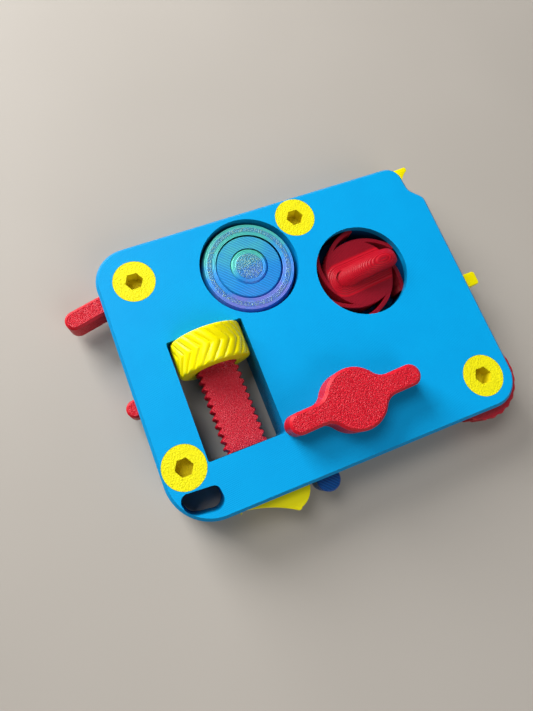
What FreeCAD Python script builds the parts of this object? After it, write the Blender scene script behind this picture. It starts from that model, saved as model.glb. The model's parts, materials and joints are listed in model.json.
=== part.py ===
"""Handheld busy board: a three-layer plastic case with spinning, sliding and swinging pieces.

Lengths are millimetres. The origin is the middle of the case's flat underside, +X runs along the
long edge, +Y towards the edge with the single screw, and +Z out of the play face.
"""
import math
import os

import FreeCAD
import Part
from FreeCAD import Vector

# Case
CASE_LENGTH = 147.2
CASE_WIDTH = 112.2
BASE_THICK = 4.5
FRAME_HEIGHT = 11.0
COVER_THICK = 5.0
EDGE_CHAMFER = 1.2
CORNER_TOP_LEFT = 14.0
CORNER_BOTTOM_LEFT = 18.2
CORNER_BOTTOM_RIGHT = 12.8
NOTCH_DEPTH = 6.0
NOTCH_LENGTH = 17.8
NOTCH_LEAN = 5.2
NOTCH_CREST_R = 4.0
NOTCH_HOLLOW_R = 5.0
NOTCH_TIP_R = 6.5

FRAME_Z = BASE_THICK
COVER_Z = FRAME_Z + FRAME_HEIGHT
FACE_Z = COVER_Z + COVER_THICK
LEFT = -CASE_LENGTH / 2
RIGHT = CASE_LENGTH / 2
BOTTOM = -CASE_WIDTH / 2
TOP = CASE_WIDTH / 2

# Clearances
PLAY = 0.4
RUNNING_FIT = 0.08

# Screws: top left, top, bottom right and bottom left
SCREW_PLACES = [(LEFT + 14.9, TOP - 15.0), (14.1, TOP - 9.35), (RIGHT - 13.1, BOTTOM + 13.5),
                (LEFT + 9.3, BOTTOM + 22.4)]
HEAD_R = 8.5
HEAD_EDGE = 0.6
SHANK_R = 4.4
SCREW_TIP_Z = 1.2
SOCKET_ACROSS_FLATS = 6.4
SOCKET_DEPTH = 6.0
BOSS_R = 6.9

# Gyro
GYRO_X = -12.2
GYRO_Y = TOP - 23.3
GYRO_Z = 11.5
GYRO_HALF = 7.8
GYRO_R = 20.2
GYRO_PIN_ANGLE = 18.0
OUTER_RING_INNER_R = 14.0
MIDDLE_RING_R = 13.15
MIDDLE_RING_INNER_R = 7.9
DISC_R = 7.05
PIN_CONE_R = 3.2
PIN_CONE_LENGTH = 2.2
PIN_CONE_TIP_R = 0.9

# Twist knob on six curved spring arms
KNOB_X = RIGHT - 41.65
KNOB_Y = TOP - 40.6
KNOB_R = 14.4
KNOB_THICK = 10.0
KNOB_SINK = 3.0
RIM_OUTER_R = 22.2
RIM_WALL = 1.6
RIM_INNER_R = RIM_OUTER_R - RIM_WALL
RIM_LIP = 1.15
KNOB_HOLE_R = RIM_INNER_R - RIM_LIP
ARM_COUNT = 6
ARM_THICK = 1.5
ARM_SWEEP = 60.0
ARM_PHASE = 24.0
GRIP_LENGTH = 27.4
GRIP_WIDTH = 8.4
GRIP_SHIFT = 1.5
GRIP_CROWN = 0.4
GRIP_RISE = 7.0
GRIP_ANGLE = 5.0
GRIP_SECTIONS = 7
GRIP_PEAK = 0.8
GRIP_END_DROP = 0.2
GRIP_END_WIDTH = 0.65
GRIP_FOOT = 1.0

# Window with the bolt and its nut
WINDOW_X = LEFT + 34.05
WINDOW_Y = BOTTOM + 44.95
WINDOW_WIDTH = 31.4
WINDOW_LENGTH = 48.1
WINDOW_CORNER_R = 0.8
BOLT_Z = 15.3
BOLT_CREST_R = 8.7
BOLT_ROOT_R = 7.55
BOLT_PITCH = 3.0
BOLT_HALF_THICK = 3.7
TENON_WIDTH = 12.0
TENON_THICK = 5.6
TENON_LENGTH = 3.0
NUT_R = 14.8
NUT_WIDTH = 14.4
NUT_CHAMFER = 1.2
NUT_CORE_WALL = 1.2
NUT_RIDGES = 22
NUT_GROOVE = 0.9
NUT_RIDGE_LEAN = -24.0
NUT_END_GAP = 0.5

# Wing knob
WING_X = 3.3
WING_Y = BOTTOM + 23.0
WING_HUB_R = 12.05
WING_SPAN = 54.8
WING_ARM_WIDTH = 8.3
WING_HEIGHT = 11.0
WING_CHAMFER = 1.0
WING_ANGLE = 2.5
WING_FILLET = 6.0
WING_STEM_R = 6.0
RETAINER_R = 10.0
RETAINER_THICK = 4.0
RETAINER_KEY = 4.2

# Pieces that reach out between base and cover
LEVER_TOP_Z = 15.0
LEVER_BOTTOM_Z = 5.0
LEVER_CHAMFER = 1.0
SIDE_LEVER_HUB_R = 12.6
SIDE_LEVER_REACH = 31.6
SIDE_LEVER_WIDTH = 8.0
SIDE_LEVER_ANGLE = 192.0
SIDE_LEVER_SWING = 32.0
WHEEL_R = 17.6
WHEEL_SCALLOPS = 26
WHEEL_SCALLOP_DEPTH = 0.7
WHEEL_SCALLOP_R = 2.4

# Push button in the left edge
BUTTON_Y = -6.3
BUTTON_WIDTH = 7.0
BUTTON_OUT = 4.3
BUTTON_STEM = 9.0
BUTTON_FLANGE_WIDTH = 11.0
BUTTON_FLANGE = 2.0
BUTTON_SPRING_LENGTH = 5.4
SPRING_WIRE = 0.8
SPRING_LEGS = 3

# Rocker with a tab and a beak in the right edge
ROCKER_X = RIGHT - 10.0
ROCKER_Y = TOP - 30.1
ROCKER_THICK = 4.4
ROCKER_ARM = 7.4
ROCKER_TAB_WIDTH = 6.0
ROCKER_TAB_Y = ROCKER_Y - 28.8
ROCKER_TAB_OUT = 8.7
ROCKER_ROOM = 3.0
PIVOT_PIN_R = 2.0

# Sprung trigger blade in the bottom edge
TRIGGER_X = LEFT + 26.6
TRIGGER_Y = BOTTOM + 8.6
TRIGGER_HUB_R = 4.6
TRIGGER_REACH = 18.7
TRIGGER_OUT = 7.8
TRIGGER_BACK = 6.3
TRIGGER_HOLLOW_X = 7.6
TRIGGER_HOLLOW_OUT = 2.9
TRIGGER_ROOM = 2.2

# Paddle lever in the bottom edge
PADDLE_X = -14.8
PADDLE_Y = BOTTOM + 13.1
PADDLE_HUB_R = 5.0
PADDLE_R = 4.75
PADDLE_REACH = 19.2
PADDLE_ANGLE = -86.4
PADDLE_IN = 3.0
PADDLE_OUT = 25.0

# Finger slot in the bottom left corner
SLOT_WALL = 3.5

UP = Vector(0, 0, 1)
ALONG_Y = Vector(0, 1, 0)
TINY = 0.01
KNOB_TOP_Z = FACE_Z - KNOB_SINK
KNOB_BOTTOM_Z = KNOB_TOP_Z - KNOB_THICK


def polar(radius, angle, x=0.0, y=0.0):
    """A point at a distance and an angle in degrees from a centre."""
    turn = math.radians(angle)
    return (x + radius * math.cos(turn), y + radius * math.sin(turn))


def rounded_face(corners):
    """A flat face from corners (x, y, radius), each corner rounded by a tangent arc."""
    edges = []
    count = len(corners)
    ends = []
    for index, (x, y, radius) in enumerate(corners):
        here = Vector(x, y, 0)
        before = Vector(*corners[index - 1][:2], 0) - here
        after = Vector(*corners[(index + 1) % count][:2], 0) - here
        before.normalize()
        after.normalize()
        if radius <= 0:
            ends.append((here, None, here))
            continue
        half = before.getAngle(after) / 2
        back = radius / math.tan(half)
        middle = before + after
        middle.normalize()
        dip = radius / math.sin(half) - radius
        ends.append((here + before * back, here + middle * dip, here + after * back))
    for index, (start, top, end) in enumerate(ends):
        if top is not None:
            edges.append(Part.Arc(start, top, end).toShape())
        following = ends[(index + 1) % count][0]
        if end.distanceToPoint(following) > TINY:
            edges.append(Part.makeLine(end, following))
    return Part.Face(Part.Wire(edges))


def slab(face, low, high):
    """A flat face raised to a solid between two heights."""
    lifted = face.copy()
    lifted.translate(Vector(0, 0, low))
    return lifted.extrude(Vector(0, 0, high - low))


def disc(x, y, radius, low, high):
    """An upright cylinder between two heights."""
    return Part.makeCylinder(radius, high - low, Vector(x, y, low), UP)


def block(x0, x1, y0, y1, z0, z1):
    """A box between two corners."""
    return Part.makeBox(x1 - x0, y1 - y0, z1 - z0, Vector(x0, y0, z0))


def turned(shape, angle, x, y):
    """A copy of a shape, turned about an upright line."""
    copy = shape.copy()
    copy.rotate(Vector(x, y, 0), UP, angle)
    return copy


def chamfer_rim(shape, height, size):
    """Chamfer the outer wire of the flat face at one height."""
    faces = [f for f in shape.Faces if abs(f.BoundBox.ZMin - height) < TINY and f.BoundBox.ZLength < TINY]
    faces.sort(key=lambda f: f.Area)
    return shape.makeChamfer(size, faces[-1].OuterWire.Edges)


def arm_face(x, y, angle, length, width):
    """A straight arm with a round end, from a centre outwards."""
    half = width / 2
    corners = [(0, -half, 0), (length, -half, half - TINY), (length, half, half - TINY), (0, half, 0)]
    face = rounded_face(corners)
    face.rotate(Vector(0, 0, 0), UP, angle)
    face.translate(Vector(x, y, 0))
    return face


# Case layers

def case_outline():
    """The case's outline, with the finger notch in its top right corner."""
    notch_x = RIGHT - NOTCH_DEPTH
    notch_low = TOP - NOTCH_LENGTH
    return rounded_face([
        (LEFT, BOTTOM, CORNER_BOTTOM_LEFT),
        (RIGHT, BOTTOM, CORNER_BOTTOM_RIGHT),
        (RIGHT, notch_low, NOTCH_CREST_R),
        (notch_x + 0.7, notch_low + NOTCH_LEAN, NOTCH_HOLLOW_R),
        (notch_x, TOP, NOTCH_TIP_R),
        (LEFT, TOP, CORNER_TOP_LEFT),
    ])


def window_cut(low, high):
    """The rectangular window round the bolt."""
    half_x = WINDOW_WIDTH / 2
    half_y = WINDOW_LENGTH / 2
    corner = WINDOW_CORNER_R
    face = rounded_face([
        (WINDOW_X - half_x, WINDOW_Y - half_y, corner),
        (WINDOW_X + half_x, WINDOW_Y - half_y, corner),
        (WINDOW_X + half_x, WINDOW_Y + half_y, corner),
        (WINDOW_X - half_x, WINDOW_Y + half_y, corner),
    ])
    return slab(face, low, high)


def slot_cut(low, high):
    """The D-shaped finger slot beside the bottom left screw."""
    screw_x, screw_y = SCREW_PLACES[3]
    top = screw_y - HEAD_R - 0.9
    low_y = BOTTOM + SLOT_WALL
    right = LEFT + 19.5
    face = rounded_face([
        (LEFT + 5.6, low_y + 1.6, 6.0),
        (right + 0.6, low_y - 0.3, 4.0),
        (right - 0.6, top - 0.4, 2.6),
        (LEFT + 2.6, top + 0.7, 3.0),
    ])
    return slab(face, low, high)


def bolt_seats():
    """The room that both tenons of the bolt need in frame and cover."""
    wide = TENON_WIDTH / 2 + RUNNING_FIT
    thick = TENON_THICK / 2 + RUNNING_FIT
    long = WINDOW_LENGTH / 2 + TENON_LENGTH + RUNNING_FIT
    return block(WINDOW_X - wide, WINDOW_X + wide, WINDOW_Y - long, WINDOW_Y + long,
                 BOLT_Z - thick, BOLT_Z + thick)


def screw_cut(x, y, low):
    """The countersunk way of one case screw."""
    cone = HEAD_R - SHANK_R
    top = FACE_Z
    profile = Part.Face(Part.makePolygon([
        Vector(x, y, low), Vector(x + SHANK_R + RUNNING_FIT, y, low),
        Vector(x + SHANK_R + RUNNING_FIT, y, top - cone - HEAD_EDGE),
        Vector(x + HEAD_R + RUNNING_FIT, y, top - HEAD_EDGE),
        Vector(x + HEAD_R + RUNNING_FIT, y, top + 1), Vector(x, y, top + 1), Vector(x, y, low)]))
    return profile.revolve(Vector(x, y, 0), UP, 360)


def gyro_sockets():
    """The two cone sockets that carry the outer ring in the frame."""
    return gyro_cones(GYRO_R, GYRO_PIN_ANGLE + 90, PLAY)


def make_base_plate():
    """The floor of the case, with the bosses that two of the screws pass through."""
    base = slab(case_outline(), 0, FRAME_Z)
    base = chamfer_rim(base, 0, EDGE_CHAMFER)
    for x, y in (SCREW_PLACES[0], SCREW_PLACES[2]):
        base = base.fuse(disc(x, y, BOSS_R, FRAME_Z, COVER_Z))
    cuts = [window_cut(-1, COVER_Z), slot_cut(-1, COVER_Z)]
    cuts.append(disc(GYRO_X, GYRO_Y, GYRO_R + PLAY, -1, COVER_Z))
    for x, y in SCREW_PLACES:
        cuts.append(screw_cut(x, y, SCREW_TIP_Z - 0.2))
    for x, y in pivot_places():
        cuts.append(disc(x, y, PIVOT_PIN_R, FRAME_Z - 2, FRAME_Z + 1))
    return base.cut(cuts).removeSplitter()


def make_middle_frame():
    """The walls between base and cover, with a pocket for each moving piece."""
    frame = slab(case_outline(), FRAME_Z, COVER_Z)
    low, high = FRAME_Z - 1, COVER_Z + 1
    cuts = [window_cut(low, high), slot_cut(low, high), bolt_seats(), gyro_sockets()]
    cuts.append(disc(GYRO_X, GYRO_Y, GYRO_R + PLAY, low, high))
    cuts.append(disc(KNOB_X, KNOB_Y, RIM_OUTER_R + RUNNING_FIT, low, high))
    cuts.append(disc(WING_X, WING_Y, RETAINER_R + PLAY, low, high))
    for x, y in (SCREW_PLACES[1], SCREW_PLACES[3]):
        cuts.append(disc(x, y, SHANK_R + RUNNING_FIT, low, high))
    for face in (side_lever_pocket(), wheel_pocket(), button_pocket(), trigger_pocket(),
                 paddle_pocket()):
        cuts.append(slab(face, low, high))
    cuts.append(slab(rocker_pocket(), ROCKER_LOW_Z - PLAY, high))
    cuts.append(disc(ROCKER_X, ROCKER_Y, PIVOT_PIN_R, low, high))
    return frame.cut(cuts).removeSplitter()


def make_cover_plate():
    """The play face, chamfered round its edge."""
    cover = slab(case_outline(), COVER_Z, FACE_Z)
    cover = chamfer_rim(cover, FACE_Z, EDGE_CHAMFER)
    low, high = COVER_Z - 1, FACE_Z + 1
    cuts = [window_cut(low, high), slot_cut(low, high), bolt_seats()]
    cuts.append(disc(GYRO_X, GYRO_Y, GYRO_R + PLAY, low, high))
    cuts.append(disc(KNOB_X, KNOB_Y, KNOB_HOLE_R, low, high))
    cuts.append(disc(KNOB_X, KNOB_Y, RIM_OUTER_R + RUNNING_FIT, low, KNOB_TOP_Z + RUNNING_FIT))
    cuts.append(disc(WING_X, WING_Y, WING_STEM_R + RUNNING_FIT, low, high))
    for x, y in SCREW_PLACES:
        cuts.append(screw_cut(x, y, low))
    for x, y in pivot_places():
        cuts.append(disc(x, y, PIVOT_PIN_R, low, COVER_Z + 2))
    return cover.cut(cuts).removeSplitter()


def make_case_screws():
    """Four countersunk screws with a hex socket, as one group of solids."""
    screws = []
    cone = HEAD_R - SHANK_R
    across_corners = SOCKET_ACROSS_FLATS / math.cos(math.pi / 6) / 2
    for x, y in SCREW_PLACES:
        profile = Part.Face(Part.makePolygon([
            Vector(x, y, SCREW_TIP_Z), Vector(x + SHANK_R - 1, y, SCREW_TIP_Z),
            Vector(x + SHANK_R, y, SCREW_TIP_Z + 1), Vector(x + SHANK_R, y, FACE_Z - cone - HEAD_EDGE),
            Vector(x + HEAD_R, y, FACE_Z - HEAD_EDGE), Vector(x + HEAD_R, y, FACE_Z),
            Vector(x, y, FACE_Z), Vector(x, y, SCREW_TIP_Z)]))
        screw = profile.revolve(Vector(x, y, 0), UP, 360)
        corners = [Vector(*polar(across_corners, 60 * k, x, y), 0) for k in range(6)]
        hexagon = Part.Face(Part.makePolygon(corners + corners[:1]))
        screws.append(screw.cut(slab(hexagon, FACE_Z - SOCKET_DEPTH, FACE_Z + 1)))
    return Part.makeCompound(screws)


def pivot_places():
    """The places of the three pivot pins."""
    return [(ROCKER_X, ROCKER_Y), (TRIGGER_X, TRIGGER_Y), (PADDLE_X, PADDLE_Y)]


def make_pivot_pin(place):
    """One plain pin, pressed into base and cover."""
    return disc(*place, PIVOT_PIN_R, FRAME_Z - 2, COVER_Z + 2)


# Gyro

def sphere_zone(top_radius):
    """The ball whose cut at the gyro's upper face has the given radius."""
    radius = math.hypot(top_radius, GYRO_HALF)
    return Part.makeSphere(radius, Vector(GYRO_X, GYRO_Y, GYRO_Z))


def gyro_cones(ball_radius, angle, clearance):
    """Two opposite cone pins that stand on a ball, grown by a clearance for their sockets."""
    cones = []
    for side in (0, 180):
        dx, dy = polar(1.0, angle + side)
        start = ball_radius - 0.8
        base = Vector(GYRO_X + dx * start, GYRO_Y + dy * start, GYRO_Z)
        length = PIN_CONE_LENGTH + 0.8 + clearance
        cones.append(Part.makeCone(PIN_CONE_R + clearance, PIN_CONE_TIP_R + clearance, length,
                                   base, Vector(dx, dy, 0)))
    return Part.makeCompound(cones)


def gyro_layer():
    """The flat layer between the gyro's two faces."""
    size = 2 * GYRO_R + 10
    return block(GYRO_X - size / 2, GYRO_X + size / 2, GYRO_Y - size / 2, GYRO_Y + size / 2,
                 GYRO_Z - GYRO_HALF, GYRO_Z + GYRO_HALF)


def make_gyro_outer_ring():
    """The ring carried by the case."""
    ball = Part.makeSphere(GYRO_R, Vector(GYRO_X, GYRO_Y, GYRO_Z))
    ring = ball.common(gyro_layer()).cut(sphere_zone(OUTER_RING_INNER_R))
    ring = ring.fuse(gyro_cones(GYRO_R, GYRO_PIN_ANGLE + 90, 0).Solids)
    middle_ball = math.hypot(MIDDLE_RING_R, GYRO_HALF)
    return ring.cut(gyro_cones(middle_ball, GYRO_PIN_ANGLE, PLAY)).removeSplitter()


def make_gyro_middle_ring():
    """The ring carried by the outer ring."""
    ring = sphere_zone(MIDDLE_RING_R).common(gyro_layer()).cut(sphere_zone(MIDDLE_RING_INNER_R))
    middle_ball = math.hypot(MIDDLE_RING_R, GYRO_HALF)
    ring = ring.fuse(gyro_cones(middle_ball, GYRO_PIN_ANGLE, 0).Solids)
    disc_ball = math.hypot(DISC_R, GYRO_HALF)
    return ring.cut(gyro_cones(disc_ball, GYRO_PIN_ANGLE + 90, PLAY)).removeSplitter()


def make_gyro_inner_disc():
    """The disc in the middle."""
    disc_ball = math.hypot(DISC_R, GYRO_HALF)
    core = sphere_zone(DISC_R).common(gyro_layer())
    return core.fuse(gyro_cones(disc_ball, GYRO_PIN_ANGLE + 90, 0).Solids).removeSplitter()


# Twist knob

def grip_arch(share):
    """One cross-section of the grip, at a share of its length from the low end."""
    along = 2 * share - 1
    end_fall = GRIP_END_WIDTH + (1 - GRIP_END_WIDTH) * math.sqrt(max(0.0, 1 - abs(along) ** 6))
    climb = min(1.0, share / GRIP_PEAK)
    past_peak = max(0.0, share - GRIP_PEAK) / (1 - GRIP_PEAK)
    half = GRIP_WIDTH * end_fall / 2
    crown = GRIP_RISE * (1 - (1 - climb) ** 2 - GRIP_END_DROP * past_peak ** 2)
    shoulder = crown - half * GRIP_CROWN
    foot = min(-GRIP_FOOT, shoulder - GRIP_FOOT / 2)
    x = GRIP_LENGTH * along / 2 + GRIP_SHIFT
    points = [Vector(x, -half, foot), Vector(x, -half, shoulder), Vector(x, 0, crown),
              Vector(x, half, shoulder), Vector(x, half, foot)]
    return Part.Wire([Part.makeLine(points[0], points[1]), Part.Arc(*points[1:4]).toShape(),
                      Part.makeLine(points[3], points[4]), Part.makeLine(points[4], points[0])])


def make_spring_knob():
    """The disc with its raised finger grip, highest near one end."""
    knob = disc(KNOB_X, KNOB_Y, KNOB_R, KNOB_BOTTOM_Z, KNOB_TOP_Z)
    last = GRIP_SECTIONS - 1
    shares = [(1 - math.cos(math.pi * index / last)) / 2 for index in range(GRIP_SECTIONS)]
    grip = Part.makeLoft([grip_arch(share) for share in shares], True, False)
    grip.rotate(Vector(0, 0, 0), UP, GRIP_ANGLE)
    grip.translate(Vector(KNOB_X, KNOB_Y, KNOB_TOP_Z))
    beside = disc(KNOB_X, KNOB_Y, KNOB_HOLE_R, KNOB_BOTTOM_Z, KNOB_TOP_Z + PLAY)
    beside = beside.cut(disc(KNOB_X, KNOB_Y, KNOB_R, KNOB_BOTTOM_Z, KNOB_TOP_Z + PLAY))
    return knob.fuse(grip.cut(beside)).removeSplitter()


def arm_plan():
    """One curved arm: an arc band that leaves the disc and grows out to the rim."""
    start = Vector(*polar(KNOB_R - 0.2, 0), 0)
    middle = Vector(*polar(KNOB_R + 1.7, -ARM_SWEEP * 0.5), 0)
    end = Vector(*polar(RIM_INNER_R + 0.2, -ARM_SWEEP), 0)
    circle = Part.Arc(start, middle, end).toShape().Curve
    centre = circle.Center
    bands = []
    for offset in (-ARM_THICK / 2, ARM_THICK / 2):
        points = [centre + (p - centre) * ((circle.Radius + offset) / circle.Radius)
                  for p in (start, middle, end)]
        bands.append(points)
    inner, outer = bands
    return Part.Face(Part.Wire([
        Part.Arc(*inner).toShape(), Part.makeLine(inner[2], outer[2]),
        Part.Arc(*outer[::-1]).toShape(), Part.makeLine(outer[0], inner[0])]))


def make_spring_arms():
    """The six thin arms between the disc and the rim."""
    arm = slab(arm_plan(), KNOB_BOTTOM_Z, KNOB_TOP_Z)
    arm = arm.common(disc(0, 0, RIM_INNER_R, 0, FACE_Z)).cut(disc(0, 0, KNOB_R, 0, FACE_Z))
    arms = []
    for index in range(ARM_COUNT):
        copy = turned(arm, ARM_PHASE + index * 360 / ARM_COUNT, 0, 0)
        copy.translate(Vector(KNOB_X, KNOB_Y, 0))
        arms.extend(copy.Solids)
    return Part.makeCompound(arms)


def make_spring_rim():
    """The ring that the arms end in, clamped between base and cover."""
    ring = disc(KNOB_X, KNOB_Y, RIM_OUTER_R, FRAME_Z, KNOB_TOP_Z)
    return ring.cut(disc(KNOB_X, KNOB_Y, RIM_INNER_R, FRAME_Z - 1, KNOB_TOP_Z + 1))


# Bolt and nut

BOLT_LOW_Y = WINDOW_Y - WINDOW_LENGTH / 2
BOLT_HIGH_Y = WINDOW_Y + WINDOW_LENGTH / 2
NUT_HIGH_Y = BOLT_HIGH_Y - NUT_END_GAP
NUT_LOW_Y = NUT_HIGH_Y - NUT_WIDTH


def thread_half(shift, angle):
    """Half of the thread's crests: a saw profile turned half way round the bolt's axis."""
    points = [(BOLT_LOW_Y, 0), (BOLT_LOW_Y, BOLT_ROOT_R)]
    count = int(WINDOW_LENGTH / BOLT_PITCH) + 1
    for index in range(-1, count):
        crest = BOLT_LOW_Y + shift + (index + 0.5) * BOLT_PITCH
        for y, radius in ((crest - BOLT_PITCH * 0.42, BOLT_ROOT_R), (crest - BOLT_PITCH * 0.08, BOLT_CREST_R),
                          (crest + BOLT_PITCH * 0.08, BOLT_CREST_R), (crest + BOLT_PITCH * 0.42, BOLT_ROOT_R)):
            if BOLT_LOW_Y + TINY < y < BOLT_HIGH_Y - TINY:
                points.append((y, radius))
    points += [(BOLT_HIGH_Y, BOLT_ROOT_R), (BOLT_HIGH_Y, 0), (BOLT_LOW_Y, 0)]
    profile = Part.Face(Part.makePolygon([Vector(WINDOW_X, y, BOLT_Z + r) for y, r in points]))
    return profile.revolve(Vector(WINDOW_X, 0, BOLT_Z), ALONG_Y, angle)


def make_threaded_bolt():
    """The bolt with a flat above and below, a thread on both flanks and a tenon at each end."""
    thread = thread_half(0, 180).fuse(thread_half(BOLT_PITCH / 2, -180))
    wide = BOLT_CREST_R + 1
    flats = block(WINDOW_X - wide, WINDOW_X + wide, BOLT_LOW_Y + PLAY / 2, BOLT_HIGH_Y - PLAY / 2,
                  BOLT_Z - BOLT_HALF_THICK, BOLT_Z + BOLT_HALF_THICK)
    tenon = block(WINDOW_X - TENON_WIDTH / 2, WINDOW_X + TENON_WIDTH / 2,
                  BOLT_LOW_Y - TENON_LENGTH, BOLT_HIGH_Y + TENON_LENGTH,
                  BOLT_Z - TENON_THICK / 2, BOLT_Z + TENON_THICK / 2)
    return thread.common(flats).fuse(tenon).removeSplitter()


def ridge_wire(y, turn):
    """The nut's outline at one place along its axis: flat ridges with narrow grooves."""
    points = []
    step = 360 / NUT_RIDGES
    for index in range(NUT_RIDGES):
        for share, radius in ((0.0, NUT_R - NUT_GROOVE), (0.2, NUT_R), (0.8, NUT_R)):
            dx, dz = polar(radius, turn + (index + share) * step)
            points.append(Vector(WINDOW_X + dx, y, BOLT_Z + dz))
    return Part.makePolygon(points + points[:1])


def tube_along_y(inner, outer, low, high, chamfer):
    """A tube about the bolt's axis, chamfered outside at both ends."""
    profile = Part.Face(Part.makePolygon([Vector(WINDOW_X, y, BOLT_Z + r) for y, r in (
        (low, inner), (low, outer - chamfer), (low + chamfer, outer), (high - chamfer, outer),
        (high, outer - chamfer), (high, inner), (low, inner))]))
    return profile.revolve(Vector(WINDOW_X, 0, BOLT_Z), ALONG_Y, 360)


NUT_CORE_INNER_R = BOLT_CREST_R + RUNNING_FIT
NUT_CORE_R = NUT_CORE_INNER_R + NUT_CORE_WALL


def make_knurled_nut():
    """The finger nut with its herringbone grip."""
    middle = (NUT_LOW_Y + NUT_HIGH_Y) / 2
    wires = [ridge_wire(NUT_LOW_Y, 0), ridge_wire(middle, NUT_RIDGE_LEAN), ridge_wire(NUT_HIGH_Y, 0)]
    body = Part.makeLoft(wires, True, True)
    return body.common(tube_along_y(NUT_CORE_R + RUNNING_FIT, NUT_R, NUT_LOW_Y, NUT_HIGH_Y, NUT_CHAMFER))


def make_nut_core():
    """The threaded bore of the nut, which only travels along the bolt."""
    return tube_along_y(NUT_CORE_INNER_R, NUT_CORE_R, NUT_LOW_Y, NUT_HIGH_Y, 0.2)


# Wing knob

def make_wing_knob():
    """The knob with two wings, and its stem down through the cover."""
    low = FACE_Z + PLAY
    high = FACE_Z + WING_HEIGHT
    half = WING_SPAN / 2
    wide = WING_ARM_WIDTH / 2
    arms = rounded_face([(-half, -wide, wide - TINY), (half, -wide, wide - TINY),
                         (half, wide, wide - TINY), (-half, wide, wide - TINY)])
    knob = slab(arms, low, high).fuse(disc(0, 0, WING_HUB_R, low, high)).removeSplitter()
    roots = [e for e in knob.Edges if e.BoundBox.ZLength > WING_HEIGHT / 2 and
             abs(math.hypot(e.BoundBox.XMin, e.BoundBox.YMin) - WING_HUB_R) < 0.1]
    knob = knob.makeFillet(WING_FILLET, roots)
    knob = chamfer_rim(knob, high, WING_CHAMFER)
    key = WING_STEM_R - RETAINER_KEY
    stem = disc(0, 0, WING_STEM_R, COVER_Z - RETAINER_THICK, low)
    stem = stem.cut(block(RETAINER_KEY, RETAINER_KEY + key + 1, -WING_STEM_R, WING_STEM_R,
                          COVER_Z - RETAINER_THICK - 1, COVER_Z))
    knob = knob.fuse(stem).removeSplitter()
    knob.rotate(Vector(0, 0, 0), UP, WING_ANGLE)
    knob.translate(Vector(WING_X, WING_Y, 0))
    return knob


def make_wing_retainer():
    """The collar under the cover that keeps the wing knob in its hole."""
    top = COVER_Z - PLAY
    low = COVER_Z - RETAINER_THICK
    ring = disc(0, 0, RETAINER_R, low, top)
    bore = disc(0, 0, WING_STEM_R, low - 1, top + 1)
    bore = bore.cut(block(RETAINER_KEY, WING_STEM_R + 1, -WING_STEM_R, WING_STEM_R, low - 1, top + 1))
    ring = ring.cut(bore)
    ring.rotate(Vector(0, 0, 0), UP, WING_ANGLE)
    ring.translate(Vector(WING_X, WING_Y, 0))
    return ring


# Side lever and corner wheel

def fan_face(x, y, radius, low_angle, high_angle, half_width):
    """The sector that an arm sweeps, widened by half the arm's width."""
    points = [Vector(x, y, 0)]
    reach = 3 * radius
    for angle, side in ((low_angle, -90), (high_angle, 90)):
        dx, dy = polar(half_width, angle + side)
        near = Vector(x + dx, y + dy, 0)
        far = Vector(*polar(reach, angle, x + dx, y + dy), 0)
        points += [near, far] if side < 0 else [far, near]
    return Part.Face(Part.makePolygon(points + points[:1]))


def side_lever_pocket():
    """Room for the side lever's hub and its swing."""
    x, y = SCREW_PLACES[0]
    hub = Part.Face(Part.Wire(Part.makeCircle(SIDE_LEVER_HUB_R + PLAY, Vector(x, y, 0))))
    fan = fan_face(x, y, SIDE_LEVER_REACH, SIDE_LEVER_ANGLE - SIDE_LEVER_SWING,
                   SIDE_LEVER_ANGLE + SIDE_LEVER_SWING, SIDE_LEVER_WIDTH / 2 + PLAY)
    return hub.fuse(fan).removeSplitter()


def make_side_lever():
    """The lever on the top left screw's boss."""
    x, y = SCREW_PLACES[0]
    low, high = LEVER_BOTTOM_Z, LEVER_TOP_Z
    arm = arm_face(x, y, SIDE_LEVER_ANGLE, SIDE_LEVER_REACH, SIDE_LEVER_WIDTH)
    lever = slab(arm, low, high).fuse(disc(x, y, SIDE_LEVER_HUB_R, low, high)).removeSplitter()
    lever = chamfer_rim(lever, high, LEVER_CHAMFER)
    return lever.cut(disc(x, y, BOSS_R + RUNNING_FIT, low - 1, high + 1))


def wheel_pocket():
    """Room for the corner wheel."""
    x, y = SCREW_PLACES[2]
    return Part.Face(Part.Wire(Part.makeCircle(WHEEL_R + PLAY, Vector(x, y, 0))))


def make_corner_wheel():
    """The thumb wheel on the bottom right screw's boss, with shallow scallops."""
    x, y = SCREW_PLACES[2]
    low, high = LEVER_BOTTOM_Z, LEVER_TOP_Z
    wheel = disc(x, y, WHEEL_R, low, high)
    wheel = wheel.makeChamfer(0.6, [e for e in wheel.Edges if e.BoundBox.ZLength < TINY])
    scallops = []
    for index in range(WHEEL_SCALLOPS):
        centre = WHEEL_R - WHEEL_SCALLOP_DEPTH + WHEEL_SCALLOP_R
        scallop_x, scallop_y = polar(centre, index * 360 / WHEEL_SCALLOPS, x, y)
        scallops.append(disc(scallop_x, scallop_y, WHEEL_SCALLOP_R, low - 1, high + 1))
    return wheel.cut(scallops).cut(disc(x, y, BOSS_R + RUNNING_FIT, low - 1, high + 1))


# Push button

BUTTON_TIP_X = LEFT - BUTTON_OUT
BUTTON_FLANGE_X = LEFT + BUTTON_STEM - BUTTON_OUT
BUTTON_BACK_X = BUTTON_FLANGE_X + BUTTON_FLANGE
BUTTON_POCKET_X = BUTTON_BACK_X + BUTTON_SPRING_LENGTH


def rectangle(x0, x1, y0, y1):
    """A flat rectangle."""
    return rounded_face([(x0, y0, 0), (x1, y0, 0), (x1, y1, 0), (x0, y1, 0)])


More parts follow.
